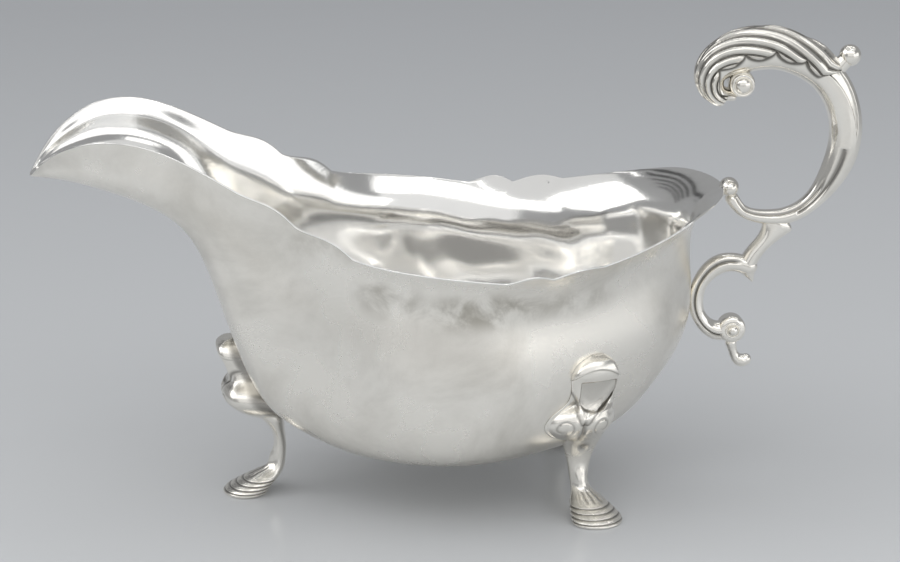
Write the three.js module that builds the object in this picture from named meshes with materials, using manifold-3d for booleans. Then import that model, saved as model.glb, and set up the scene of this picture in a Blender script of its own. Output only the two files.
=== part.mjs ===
// Sauce boat in silver: a raised bowl with a long pouring lip, a double-scroll handle with a leaf
// over its top, and three cast legs with hoof feet under knee plates.
// Millimetres, +Z up. The floor is z = 0, the lip points along -X and the handle stands at +X.
// The object is mirror symmetric about the plane y = 0.
import * as THREE from 'three';
import { mergeVertices } from 'three/addons/utils/BufferGeometryUtils.js';
import Module from 'manifold-3d';

const wasm = await Module();
wasm.setup();

// Driving dimensions
const BOWL_LENGTH = 175; // tip of the lip to the back end of the rim
const BOWL_WIDTH = 94.8; // across the rim at its widest
const BODY_DEPTH = 55.7; // lowest point of the rim above the underside of the bowl
const BOWL_CLEARANCE = 12.1; // underside of the bowl above the floor
const WALL = 1.0; // thickness of the sheet
const MOST_THINNING = 0.6; // share of it that is hammered away at the tip of the lip
const THINNING_REACH = 4; // half width, in walls, over which that share fades
const TIP_X = -105; // tip of the lip, which puts the origin at the middle of the length
const SOLDER_GAP = 0.3; // left between two pieces that are soldered together
const BEAD_RADIUS = 2.5; // bead behind the rim
const BEAD_HALF_WIDTH = 3.2;
const LEAF_THICKNESS = 1.3; // leaf over the upper scroll
const CURL_RADIUS = 3.4; // round end of the upper scroll
const CURL_HALF_WIDTH = 4.0;
const CURL_BUTTON_RADIUS = 2.9;
const KNOB_RADIUS = 2.8; // thumb knob on the end of the leaf
const VOLUTE_RADIUS = 3.6; // round end of the lower scroll
const VOLUTE_HALF_WIDTH = 2.8;
const VOLUTE_BUTTON_RADIUS = 2.0;
const BUTTON_HEIGHT = 1.4; // how far a button stands off its scroll
const BUTTON_STRAIGHT = 0.3; // share of that height that is straight, under the dome
const DISC_FLAT = 0.8; // share of a disc's radius that is flat, and of its width that is straight
const DISC_STRAIGHT = 0.6;
const PLATE_HEIGHT = 25.6; // knee plate on a rear leg, from its foot to the top of its hood
const FRONT_PLATE_SHARE = 0.87; // the front plate is this much of the rear plate's height
const PLATE_DEPTH = 16; // of the block that a plate is cut from, which reaches inside the wall
const FRONT_LEG_STATION = 35.1; // where the legs stand, in percent of the bowl's length
const REAR_LEG_STATION = 77.3;
const REAR_LEG_SPREAD = 0.477; // and how far out, as a share of the bowl's half width
const REAR_LEG_ANGLE = 14; // degrees that a rear leg turns back from straight out
const REAR_HOOF_TURN = 11; // degrees that its hoof turns further back
const REAR_PLATE_SHIFT = 0.55; // shift of its plate towards the bowl's middle per mm of its fall

// Rim, from the tip to the handle end: station along the bowl in percent of its length, half width
// in percent of the widest, height in percent of the body's depth above the bowl's underside
const RIM = [
  [0, 0, 131.8], [1, 11, 136.8], [3, 22, 144.5], [6, 34, 151.3], [9, 42.8, 155], [12, 48.5, 156.2],
  [15, 52.3, 155.5], [20, 56.8, 150.6], [26, 61.8, 141], [32, 67.5, 130.2], [38, 75.5, 119.6],
  [44, 86, 110.4], [50, 95, 105.8], [56, 99.6, 103.2], [62, 100, 101.1], [66, 98.7, 100],
  [72, 94.5, 100.5], [79, 86.7, 103.4], [86, 74.7, 108.3], [92, 59, 113.6], [96, 42.6, 117.2],
  [100, 0, 118.7],
];
// Scallops of the cut edge: station where each starts and ends, its height in mm, and its lean
const SCALLOPS = [
  [28.6, 36.7, 1.5, 1.5], [36.7, 44.3, 1.7, 1.5], [44.3, 65.4, 0.4, 1],
  [65.4, 72, 1.6, 1.2], [72, 79.4, 1.2, 1],
];
// Keel, the line of the underside on the mirror plane: station and height, both in percent as above
const KEEL = [
  [0, 131.8], [4, 132], [8, 130.2], [12, 126.9], [16, 122.4], [20, 115.5], [24, 98.5], [28, 62],
  [32, 32.9], [36, 20.1], [42, 9.9], [50, 3.8], [60, 0.4], [72, 0],
];
// Where on the keel the section that ends at each station of the rim starts, both in percent
const SECTION_ROOT = [
  [0, 0], [14, 14], [28, 28], [42, 41.5], [56, 54], [71, 63], [86, 68], [100, 70],
];
// Control points of a section, from the keel up to the rim, as shares of its reach (a) and of its
// height (b): station, a of the flat, then a and b of the bilge, belly, shoulder and neck
const SECTIONS = [
  [0, 0.3, 0.62, 0.05, 0.86, 0.23, 0.97, 0.48, 0.985, 0.78],
  [14, 0.3, 0.65, 0.04, 0.885, 0.235, 0.985, 0.5, 0.975, 0.78],
  [27, 0.28, 0.67, -0.03, 0.88, 0.24, 0.97, 0.56, 0.95, 0.82],
  [40, 0.32, 0.73, 0.005, 0.93, 0.275, 0.967, 0.615, 0.91, 0.86],
  [60, 0.36, 0.79, 0.05, 0.95, 0.3, 0.976, 0.65, 0.887, 0.86],
  [83, 0.34, 0.665, 0.13, 0.785, 0.28, 0.91, 0.615, 0.803, 0.86],
  [100, 0.31, 0.54, 0.115, 0.66, 0.24, 0.925, 0.53, 0.765, 0.93],
];
const SECTION_SPANS = 4;

// Scrolls as rows of x, z, half depth in the mirror plane and half width across it, in mm.
// The upper scroll and the leaf are measured from the back end of the rim.
const UPPER_SCROLL = [
  [2.0, -3.6, 1.8, 2.4], [4.4, -6.6, 1.6, 2.3], [10.4, -8.6, 1.85, 2.5], [16.4, -8.3, 2.1, 2.7],
  [22.6, -4.7, 2.3, 3.0], [27.0, 1.0, 3.3, 3.4], [29.9, 7.5, 4.05, 3.8], [30.8, 13.8, 4.2, 3.9],
  [29.7, 20.4, 4.3, 4.0], [25.8, 27.4, 4.4, 4.1], [18.5, 32.6, 4.5, 4.2], [11.0, 34.9, 4.9, 4.3],
  [4.3, 34.3, 5.0, 4.3], [-1.4, 31.8, 4.2, 4.2], [-3.6, 28.4, 3.3, 4.2], [-2.4, 24.9, 2.3, 4.0],
  [1.2, 23.6, 1.4, 3.8],
];
const CURL_CENTRE = [3.5, 26.8];
const BEAD_CENTRE = [1.2, -0.5];
const LEAF_FROM = 0.585; // share of the upper scroll's length where the leaf starts, near the knob
const LEAF_TO = 0.985;
const LEAF_MARGIN = 0.015; // share of that length that a mm of growth adds at the start
const LEAF_SPREAD = 105; // degrees of the scroll's section that the leaf covers on each flank
const LEAF_LOBES = 5; // along each long edge
const LEAF_LOBE_DEPTH = 0.13; // share of the spread that is cut away between two lobes
const LEAF_RIBS = 12; // across the back, every other one a flute
const LEAF_FLUTE_DEPTH = 0.35;
const LEAF_POINT = 0.35; // share of the spread at its pointed start, and how fast it widens
const LEAF_WIDENING = 2.3;
const LEAF_THIN = 0.45; // share of the thickness at that start, and how fast it thickens
const LEAF_THICKENING = 4;
const LEAF_GROWTH = 0.1; // share of its length that a mm of growth adds to that widening
const LEAF_BED = 1.1; // the leaf lies this many solder gaps off the scroll
const KNOB_CENTRE = [31.3, 33.1];
// Neck of the knob: how far down and back from its centre, half depth, half width
const KNOB_NECK = [[4.2, 1.9, 2.2], [2.1, 1.6, 2.0], [0, 1.6, 2.0]];
// The lower scroll and what hangs from it are measured from the back wall of the bowl
const SEAT_DROP = 29.7; // the lower scroll's seat below the back end of the rim
const LOWER_SCROLL = [
  [15.0, 8.1, 2.5, 2.5], [11.8, 9.1, 2.4, 2.5], [7.8, 8.8, 2.5, 2.5], [4.9, 6.9, 2.3, 2.5],
  [2.7, 3.8, 2.0, 2.4], [1.7, 0, 2.0, 2.3], [2.2, -3.9, 1.9, 2.4], [4.4, -7.3, 2.1, 2.5],
  [7.4, -8.9, 2.5, 2.6], [10.4, -8.6, 2.6, 2.7],
];
const STEEP_RISES = [0.3, 0.93]; // rises between which the back wall of the bowl is steep
const SPUR = [[14.6, 8.1, 2.3, 2.2], [15.4, 6.1, 1.5, 1.8], [16.1, 4.4, 0.5, 0.8]];
const VOLUTE_CENTRE = [11.05, -8.3];
const TAIL = [
  [11.1, -12.4, 1.5, 1.7], [11.5, -14.1, 1.2, 1.5], [12.4, -16.2, 1.35, 1.5], [13.8, -17.2, 1.7, 1.7],
  [15.0, -17.0, 1.5, 1.5],
];
// The strut stands between the scrolls, so its foot follows the lower one
const STRUT_HEAD = [[13.7, -10.4, 4.4, 2.1], [11.7, -13.6, 2.6, 2.2]];
const STRUT_FOOT = [[16.0, 10.9, 2.2, 2.3], [14.9, 8.9, 2.3, 2.4]];

// Leg and hoof as level slices: height, back and front reach from the ankle, half width.
// The terraces of the lowest rows are the ridges of the hoof.
const HOOF = [
  [0, 3.5, 15.0, 6.5], [0.9, 3.2, 14.8, 6.8], [1.2, 3.0, 13.9, 6.3], [2.1, 2.3, 12.9, 6.3],
  [2.4, 2.0, 12.1, 5.7], [3.3, 1.2, 10.8, 5.5], [3.6, 1.0, 10.0, 5.0], [4.4, 0.3, 8.6, 4.6],
  [4.8, 0, 7.6, 4.0], [5.6, -0.4, 5.6, 3.3], [6.6, -0.8, 3.6, 2.8],
];
const ANKLE_HEIGHT = 8.3;
// Where the leg goes into the knee plate, in percent of the body's depth above the underside
const KNEE_RISE = 14.1831;
const PLATE_BACK = 0.6; // half width of a plate's back, as a share of its face's
// Shank: share of the way from the ankle to the knee, back and front reach, half width
const SHANK = [
  [0, -1.1, 2.1, 2.4], [0.16, -1.3, 1.5, 2.4], [0.33, -1.4, 1.4, 2.5], [0.5, -1.2, 1.5, 2.7],
  [0.67, -1.1, 2.2, 3.0], [0.84, -1.0, 3.3, 3.5], [1, -1.0, 5.0, 4.2], [1.2, -1.0, 7.5, 4.4],
];
// Knee plate: share of its height, reach of its face from the ankle, half width, and how far the
// face falls back from its middle to its edges
const KNEE = [
  [0, 4.6, 2.8, 0.8], [0.06, 7.2, 5.2, 1.8], [0.12, 9.6, 7.8, 2.8], [0.2, 12.3, 10.0, 4.0],
  [0.28, 14.1, 11.2, 4.6], [0.36, 14.7, 11.0, 4.4], [0.44, 14.1, 9.6, 3.8], [0.51, 13.6, 7.6, 2.6],
  [0.58, 13.7, 6.5, 2.0], [0.66, 14.2, 6.2, 1.8], [0.74, 15.0, 6.4, 1.8], [0.82, 15.9, 6.4, 1.9],
  [0.9, 15.8, 5.4, 1.6], [0.96, 15.1, 3.8, 1.0], [1, 14.4, 1.6, 0.3],
];

// Fineness of the facets
const RIM_STEPS = 42; // along each side of the rim
const SECTION_STEPS = 12; // from the keel to the rim
const ROW_CROWDING = 1.2; // power by which these crowd towards the rim
const SCROLL_STEPS = { upper: 44, leaf: 22, neck: 4, lower: 26, spur: 5, strut: 8, tail: 8 };
const DOME_DEGREES = [30, 62]; // rings of a rounded end
const BALL_DEGREES = [-60, -30, 0, 30, 60];
const BUTTON_DEGREES = [0, 30, 60];
const SCROLL_SIDES = 12;
const SLICE_SIDES = 16;
const SLOPE_STEP = 0.004; // of turn and rise, for the slopes of the bowl's face
const LEAST_RISE = 0.03; // below it a normal is taken at this rise
const LEAST_TALL = 8; // mm that one rise counts for at least, at the level tip of the lip
const TANGENT_STEP = 0.01; // mm along a scroll
const MERGE_DISTANCE = 1e-4; // corners closer than this are one corner
const LEAST_CAP = 0.01; // height of the cap on a leg that isn't grown

const RIM_END_X = TIP_X + BOWL_LENGTH;

// Curves

// A natural cubic spline through knots, given as rows whose first number is the place
function spline(knots, column = 1) {
  const n = knots.length;
  const x = knots.map((row) => row[0]);
  const y = knots.map((row) => row[column]);
  const bend = new Array(n).fill(0);
  const carry = new Array(n).fill(0);
  for (let i = 1; i < n - 1; i++) {
    const share = (x[i] - x[i - 1]) / (x[i + 1] - x[i - 1]);
    const pivot = share * bend[i - 1] + 2;
    const jump = (y[i + 1] - y[i]) / (x[i + 1] - x[i]) - (y[i] - y[i - 1]) / (x[i] - x[i - 1]);
    bend[i] = (share - 1) / pivot;
    carry[i] = ((6 * jump) / (x[i + 1] - x[i - 1]) - share * carry[i - 1]) / pivot;
  }
  bend[n - 1] = 0;
  for (let i = n - 2; i >= 0; i--) bend[i] = bend[i] * bend[i + 1] + carry[i];
  return (at) => {
    let i = 0;
    while (i < n - 2 && at > x[i + 1]) i++;
    const step = x[i + 1] - x[i];
    const a = (x[i + 1] - at) / step;
    const b = (at - x[i]) / step;
    const sag = ((a * a * a - a) * bend[i] + (b * b * b - b) * bend[i + 1]) * ((step * step) / 6);
    return a * y[i] + b * y[i + 1] + sag;
  };
}

// Weights of the seven control points of a section, which is a cubic spline clamped at both ends
function sectionWeights(rise) {
  const knots = [0, 0, 0, 0, 1, 2, 3, 4, 4, 4, 4];
  const at = rise * SECTION_SPANS;
  const span = Math.min(SECTION_SPANS - 1, Math.max(0, Math.floor(at)));
  let weights = knots.slice(1).map((_, i) => (i === span + 3 ? 1 : 0));
  for (let degree = 1; degree <= 3; degree++) {
    weights = weights.slice(1).map((_, i) => {
      const left = knots[i + degree] - knots[i];
      const right = knots[i + degree + 1] - knots[i + 1];
      const before = left > 0 ? ((at - knots[i]) / left) * weights[i] : 0;
      const after = right > 0 ? ((knots[i + degree + 1] - at) / right) * weights[i + 1] : 0;
      return before + after;
    });
  }
  return weights;
}

// Bowl

const heightOf = (percent) => BOWL_CLEARANCE + (percent / 100) * BODY_DEPTH;
const stationX = (percent) => TIP_X + (percent / 100) * BOWL_LENGTH;
// the square of the half width is a smooth curve with a root at each end, which rounds both ends
const rimSquare = spline(RIM.map(([at, half]) => [at, half * half]));
const rimHeight = spline(RIM, 2);
const keelHeight = spline(KEEL);
const sectionRoot = spline(SECTION_ROOT);
const sectionShares = SECTIONS[0].slice(1).map((_, i) => spline(SECTIONS, i + 1));

function scallopRise(station) {
  const found = SCALLOPS.find(([from, to]) => station > from && station < to);
  if (!found) return 0;
  const [from, to, height, lean] = found;
  return height * Math.sin(Math.PI * ((station - from) / (to - from)) ** lean);
}

// Station of the rim at a turn of 0 (tip) to 1 (handle end), close together at the round ends
const stationAt = (turn) => 50 * (1 - Math.cos(Math.PI * turn));

// A point of the bowl's outer face on the near side. rise goes from 0 at the keel to 1 at the rim.
function bowlPoint(turn, rise) {
  const station = stationAt(turn);
  const root = sectionRoot(station);
  const side = Math.sin(Math.PI * turn) < 0 ? -1 : 1;
  const half = (side * Math.sqrt(Math.max(0, rimSquare(station))) * BOWL_WIDTH) / 200;
  const low = heightOf(keelHeight(root));
  const high = heightOf(rimHeight(station));
  const s = sectionShares.map((share) => share(station));
  const reach = [0, s[0], s[1], s[3], s[5], s[7], 1];
  const climb = [0, 0, s[2], s[4], s[6], s[8], 1];
  const weights = sectionWeights(rise);
  const a = weights.reduce((sum, weight, i) => sum + weight * reach[i], 0);
  const b = weights.reduce((sum, weight, i) => sum + weight * climb[i], 0);
  const x = stationX(root) + a * (stationX(station) - stationX(root));
  return new THREE.Vector3(x, -a * half, low + b * (high - low));
}

// The outward normal there, from the slopes of the face both ways
function bowlNormal(turn, rise) {
  const t = Math.min(1 - 5 * SLOPE_STEP, Math.max(5 * SLOPE_STEP, turn));
  const r = Math.max(LEAST_RISE, rise);
  const along = bowlPoint(t + SLOPE_STEP, r).sub(bowlPoint(t - SLOPE_STEP, r));
  const up = bowlPoint(t, r + SLOPE_STEP).sub(bowlPoint(t, r - SLOPE_STEP));
  const normal = along.cross(up).normalize();
  if (rise === 0 || turn === 0 || turn === 1) normal.setY(0).normalize();
  return normal;
}

// The rise of the cut edge, which runs past the plain rim by its scallops and by any lift in mm
function edgeRise(turn, lift = 0) {
  const station = stationAt(turn);
  const tall = ((rimHeight(station) - keelHeight(sectionRoot(station))) / 100) * BODY_DEPTH;
  const slope = 3 * SECTION_SPANS * (1 - sectionShares[8](station));
  return 1 + (scallopRise(station) + lift) / Math.max(LEAST_TALL, tall * slope);
}

// Turns along the rim, with one on each end of a scallop
function rimTurns() {
  const turns = Array.from({ length: RIM_STEPS + 1 }, (_, i) => i / RIM_STEPS);
  const ends = new Set(SCALLOPS.flatMap(([from, to]) => [from, to]));
  for (const end of ends) {
    const turn = Math.acos(1 - end / 50) / Math.PI;
    turns[Math.round(turn * RIM_STEPS)] = turn;
  }
  return turns;
}

// One side of a face of the bowl: rows along the rim, each from the keel up, moved along the normal
function bowlSide(offset, mirror, lift = 0) {
  return rimTurns().map((turn) => {
    const top = edgeRise(turn, lift);
    const shift = offset < 0 ? offset + WALL * edgeThinning(turn) : offset;
    return Array.from({ length: SECTION_STEPS + 1 }, (_, j) => {
      const rise = top * (1 - (1 - j / SECTION_STEPS) ** ROW_CROWDING);
      const point = bowlPoint(turn, rise);
      point.addScaledVector(bowlNormal(turn, rise), shift);
      if (rise === 0 || turn === 0 || turn === 1) point.y = 0;
      if (mirror) point.y = -point.y;
      return point;
    });
  });
}

// The share of the sheet's thickness that is hammered away, which grows towards the two ends
function edgeThinning(turn) {
  const half = (Math.sqrt(Math.max(0, rimSquare(stationAt(turn)))) * BOWL_WIDTH) / 200;
  return MOST_THINNING * (1 - Math.tanh(half / (THINNING_REACH * WALL)));
}

// Quads between two neighbouring rows of points
function stitch(triangles, rows, flip) {
  for (let i = 0; i + 1 < rows.length; i++) {
    for (let j = 0; j + 1 < rows[i].length; j++) {
      const quad = [rows[i][j], rows[i + 1][j], rows[i + 1][j + 1], rows[i][j + 1]];
      if (flip) quad.reverse();
      triangles.push([quad[0], quad[1], quad[2]], [quad[0], quad[2], quad[3]]);
    }
  }
}

// A closed geometry from loose triangles: corners are joined and flat triangles dropped
function closedGeometry(triangles) {
  const loose = new THREE.BufferGeometry();
  const numbers = triangles.flat().flatMap((point) => [point.x, point.y, point.z]);
  loose.setAttribute('position', new THREE.Float32BufferAttribute(numbers, 3));
  const merged = mergeVertices(loose, MERGE_DISTANCE);
  const index = merged.getIndex().array;
  const kept = [];
  for (let i = 0; i < index.length; i += 3) {
    const [a, b, c] = [index[i], index[i + 1], index[i + 2]];
    if (a !== b && b !== c && c !== a) kept.push(a, b, c);
  }
  merged.setIndex(kept);
  return merged;
}

// The sheet: outer face, inner face and the edge between them, on both sides
function bowlShell(grow = 0) {
  const triangles = [];
  for (const mirror of [false, true]) {
    const outer = bowlSide(grow, mirror, grow);
    const inner = bowlSide(-WALL - grow, mirror, grow);
    stitch(triangles, outer, mirror);
    stitch(triangles, inner, !mirror);
    const edge = outer.map((row, i) => [row.at(-1), inner[i].at(-1)]);
    stitch(triangles, edge, mirror);
  }
  return closedGeometry(triangles);
}

// The bowl as a filled block, grown by the solder gap, which cuts what sits against its wall
function bowlBlock() {
  const triangles = [];
  const sides = [false, true].map((mirror) => bowlSide(SOLDER_GAP, mirror));
  stitch(triangles, sides[0], false);
  stitch(triangles, sides[1], true);
  stitch(triangles, sides[0].map((row, i) => [row.at(-1), sides[1][i].at(-1)]), false);
  return closedGeometry(triangles);
}

// Solids

function solidOf(geometry) {
  const bare = geometry.clone();
  bare.deleteAttribute('normal');
  bare.deleteAttribute('uv');
  const merged = mergeVertices(bare, MERGE_DISTANCE);
  return new wasm.Manifold(new wasm.Mesh({
    numProp: 3,
    vertProperties: new Float32Array(merged.getAttribute('position').array),
    triVerts: new Uint32Array(merged.getIndex().array),
  }));
}

function geometryOf(solid) {
  const { vertProperties, triVerts } = solid.getMesh();
  const geometry = new THREE.BufferGeometry();
  geometry.setAttribute('position', new THREE.BufferAttribute(new Float32Array(vertProperties), 3));
  geometry.setIndex(Array.from(triVerts));
  return geometry;
}

// A closed solid through rings of points, with a fan over each end
function loft(rings) {
  const triangles = [];
  stitch(triangles, rings.map((ring) => [...ring, ring[0]]), true);
  const middle = (ring) => {
    const sum = ring.reduce((total, point) => total.add(point), new THREE.Vector3());
    return sum.divideScalar(ring.length);
  };
  for (const [ring, first] of [[rings[0], true], [rings.at(-1), false]]) {
    const centre = middle(ring);
    ring.forEach((point, i) => {
      const next = ring[(i + 1) % ring.length];
      triangles.push(first ? [centre, next, point] : [centre, point, next]);
    });
  }
  return solidOf(closedGeometry(triangles));
}

// Stations along a scroll: rows of x, z and sizes, smoothed over the length of their line
function scrollStations(rows, steps, from = 0, to = 1) {
  let length = 0;
  const placed = rows.map((row, i) => {
    if (i > 0) length += Math.hypot(row[0] - rows[i - 1][0], row[1] - rows[i - 1][1]);
    return [length, ...row];
  });
  const curves = rows[0].map((_, i) => spline(placed, i + 1));
  return Array.from({ length: steps + 1 }, (_, i) => {
    const at = length * (from + ((to - from) * i) / steps);
    const [x, z, depth, width] = curves.map((curve) => curve(at));
    const ahead = [0, 1].map((axis) => curves[axis](at + TANGENT_STEP) - curves[axis](at - TANGENT_STEP));
    const size = Math.hypot(...ahead);
    return { x, z, depth, width, tangent: [ahead[0] / size, ahead[1] / size] };
  });
}

// A point of a station's oval section. Angle 0 looks away from the middle of the scroll.
function sectionPoint(station, angle, depth, width) {
  const [tx, tz] = station.tangent;
  const out = depth * Math.cos(angle);
  return new THREE.Vector3(station.x + out * tz, width * Math.sin(angle), station.z - out * tx);
}

function ovalRing(station, grow, scale = 1) {
  return Array.from({ length: SCROLL_SIDES }, (_, i) => {
    const angle = (2 * Math.PI * i) / SCROLL_SIDES;
    return sectionPoint(station, angle, (station.depth + grow) * scale, (station.width + grow) * scale);
  });
}

// A cast scroll with oval section and rounded ends
function scroll(rows, steps, grow = 0) {
  const stations = scrollStations(rows, steps);
  const rings = stations.map((station) => ovalRing(station, grow));
  const dome = (station, way) => DOME_DEGREES.map((degrees) => {
    const angle = THREE.MathUtils.degToRad(degrees);
    const lift = way * (Math.min(station.depth, station.width) + grow) * Math.sin(angle);
    const x = station.x + station.tangent[0] * lift;
    const z = station.z + station.tangent[1] * lift;
    return ovalRing({ ...station, x, z }, grow, Math.cos(angle));
  });
  return loft([...dome(stations[0], -1).reverse(), ...rings, ...dome(stations.at(-1), 1)]);
}

// A round body about the y axis from a half profile of radius and place across
function turned(profile, [x, z], sides = 20) {
  const geometry = new THREE.LatheGeometry(profile.map(([r, y]) => new THREE.Vector2(r, y)), sides);
  geometry.translate(x, 0, z);
  return solidOf(geometry);
}

// A ball, or an oval one whose half width differs from its radius
function ball(radius, half, centre) {
  const profile = BALL_DEGREES.map((degrees) => {
    const angle = THREE.MathUtils.degToRad(degrees);
    return [radius * Math.cos(angle), half * Math.sin(angle)];
  });
  return turned([[0, -half], ...profile, [0, half]], centre);
}

// A disc with rounded edges, as wide as its scroll
function disc(radius, half, centre, grow = 0) {
  const r = radius + grow;
  const h = half + grow;
  const flat = r * DISC_FLAT;
  const straight = h * DISC_STRAIGHT;
  return turned([[0, -h], [flat, -h], [r, -straight], [r, straight], [flat, h], [0, h]], centre);
}

// A domed button on one face of a disc
function button(radius, half, centre, side) {
  const base = half + SOLDER_GAP;
  const dome = BUTTON_DEGREES.map((degrees) => {
    const angle = THREE.MathUtils.degToRad(degrees);
    const share = BUTTON_STRAIGHT + (1 - BUTTON_STRAIGHT) * Math.sin(angle);
    return [radius * Math.cos(angle), base + BUTTON_HEIGHT * share];
  });
  const profile = [[0, base], [radius, base], ...dome, [0, base + BUTTON_HEIGHT]];
  if (side > 0) return turned(profile, centre);
  return turned(profile.map(([r, y]) => [r, -y]).reverse(), centre);
}

// Handle

const rimEnd = [RIM_END_X, heightOf(RIM.at(-1)[2])];
const fromRim = (rows) => rows.map(([x, z, ...rest]) => [rimEnd[0] + x, rimEnd[1] + z, ...rest]);

// X of the bowl's back wall at a height on the mirror plane, where the wall is steep
function backWall(height) {
  let [low, high] = STEEP_RISES;
  for (let i = 0; i < 40; i++) {
    const middle = (low + high) / 2;
    if (bowlPoint(1, middle).z < height) low = middle;
    else high = middle;
  }
  return bowlPoint(1, low).x;
}
const seatHeight = rimEnd[1] - SEAT_DROP;
const seat = [backWall(seatHeight), seatHeight];
const fromSeat = (rows) => rows.map(([x, z, ...rest]) => [seat[0] + x, seat[1] + z, ...rest]);

function beadSolid(grow = 0) {
  return ball(BEAD_RADIUS + grow, BEAD_HALF_WIDTH + grow, fromRim([BEAD_CENTRE])[0]);
}

function upperScrollSolid(grow = 0) {
  const body = scroll(fromRim(UPPER_SCROLL), SCROLL_STEPS.upper, grow);
  return body.add(disc(CURL_RADIUS, CURL_HALF_WIDTH, fromRim([CURL_CENTRE])[0], grow));
}

// The leaf lies over the outer side of the scroll, with its long edges cut into lobes and its
// back fluted. It starts as a point by the knob and thickens from there.
function leafSolid(grow = 0) {
  const from = LEAF_FROM - grow * LEAF_MARGIN;
  const stations = scrollStations(fromRim(UPPER_SCROLL), SCROLL_STEPS.leaf, from, LEAF_TO);
  const bed = LEAF_BED * SOLDER_GAP - grow;
  const rings = stations.map((station, i) => {
    const along = i / (stations.length - 1);
    const lobe = 1 - LEAF_LOBE_DEPTH * (1 - Math.abs(Math.sin(Math.PI * LEAF_LOBES * along)));
    const taper = Math.min(1, LEAF_POINT + LEAF_WIDENING * Math.sqrt(along + LEAF_GROWTH * grow));
    const spread = THREE.MathUtils.degToRad(LEAF_SPREAD) * lobe * taper;
    const angles = Array.from({ length: LEAF_RIBS + 1 }, (_, j) => spread * ((2 * j) / LEAF_RIBS - 1));
    const full = Math.min(1, LEAF_THIN + LEAF_THICKENING * along);
    const thick = bed + 2 * grow + LEAF_THICKNESS * full;
    const outer = angles.map((angle, j) => {
      const rise = thick - (j % 2 === 0 ? LEAF_FLUTE_DEPTH : 0);
      return sectionPoint(station, angle, station.depth + rise, station.width + rise);
    });
    const inner = angles.map((angle) => (
      sectionPoint(station, angle, station.depth + bed, station.width + bed)
    ));
    return [...outer, ...inner.reverse()];
  });
  return loft(rings);
}

function knobSolid() {
  const [x, z] = fromRim([KNOB_CENTRE])[0];
  const neck = KNOB_NECK.map(([back, depth, width]) => [x - back, z - back, depth, width]);
  return ball(KNOB_RADIUS, KNOB_RADIUS, [x, z]).add(scroll(neck, SCROLL_STEPS.neck));
}

function lowerScrollSolid(grow = 0) {
  const volute = disc(VOLUTE_RADIUS, VOLUTE_HALF_WIDTH, fromSeat([VOLUTE_CENTRE])[0], grow);
  const spur = scroll(fromSeat(SPUR), SCROLL_STEPS.spur, grow);
  return scroll(fromSeat(LOWER_SCROLL), SCROLL_STEPS.lower, grow).add(volute).add(spur);
}

function strutSolid() {
  return scroll([...fromRim(STRUT_HEAD), ...fromSeat(STRUT_FOOT)], SCROLL_STEPS.strut);
}

// Feet

// A leg's own frame: where its ankle stands, which way it faces and how its plate is shifted
function legFrame(station, spread, degrees, shift) {
  const angle = THREE.MathUtils.degToRad(degrees);
  const side = Math.sign(spread);
  return {
    x: stationX(station),
    y: (spread * BOWL_WIDTH) / 2,
    out: side === 0 ? [-1, 0] : [Math.sin(angle), side * Math.cos(angle)],
    shift: side * shift,
  };
}

// A point of a leg: its reach out from the ankle, its place across and its height
function placed(frame, reach, across, height) {
  const [ox, oy] = frame.out;
  return new THREE.Vector3(frame.x + reach * ox - across * oy, frame.y + reach * oy + across * ox, height);
}

// A level slice of a leg: an oval between a back and a front reach
function legSlice(frame, height, back, front, half) {
  return Array.from({ length: SLICE_SIDES }, (_, i) => {
    const angle = (2 * Math.PI * i) / SLICE_SIDES;
    const reach = (back + front) / 2 + ((front - back) / 2) * Math.cos(angle);
    return placed(frame, reach, half * Math.sin(angle), height);
  });
}

// A level slice of a plate: a bowed face with square shoulders that run back into the wall
function plateSlice(frame, height, front, half, fall) {
  const middle = frame.shift * fall;
  const face = Array.from({ length: SLICE_SIDES - 1 }, (_, i) => {
    const angle = Math.PI * (i / (SLICE_SIDES - 2) - 0.5);
    const reach = front - fall * (1 - Math.cos(angle));
    return placed(frame, reach, middle + half * Math.sin(angle), height);
  });
  const back = [1, -1].map((side) => (
    placed(frame, front - PLATE_DEPTH, middle + PLATE_BACK * side * half, height)
  ));
  return [...face, ...back];
}

const kneeHeight = heightOf(KNEE_RISE);

function legSolid(frame, hoofFrame, grow = 0) {
  const shank = SHANK.map(([share, ...rest]) => (
    [ANKLE_HEIGHT + share * (kneeHeight - ANKLE_HEIGHT), ...rest]
  ));
  const rows = [...HOOF, ...shank];
  // a straight cap on top, which is as tall as the growth
  const [top, ...topSizes] = rows.at(-1);
  rows.push([top + Math.max(grow, LEAST_CAP), ...topSizes]);
  const rings = rows.map(([z, back, front, half], i) => {
    const facing = i < HOOF.length ? hoofFrame : frame;
    return legSlice(facing, z, back - grow, front + grow, half + grow);
  });
  return loft(rings);
}

// The plate is a relief whose back lies against the bowl: each slice starts well inside the wall
function plateSolid(frame, share) {
  const rings = KNEE.map(([at, front, half, fall]) => {
    const height = kneeHeight + at * PLATE_HEIGHT * share;
    return plateSlice(frame, height, front, half, fall);
  });
  return loft(rings);
}

// Materials and assembly

const SILVER = { color: 0xc9c7c0, roughness: 0.28, metalness: 1 };
const CAST_SILVER = { color: 0xcfccc2, roughness: 0.18, metalness: 1 };

function meshOf(name, solid, finish) {
  const geometry = solid instanceof THREE.BufferGeometry ? solid : geometryOf(solid);
  geometry.computeVertexNormals();
  const mesh = new THREE.Mesh(geometry, new THREE.MeshStandardMaterial(finish));
  mesh.name = name;
  return mesh;
}

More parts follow.
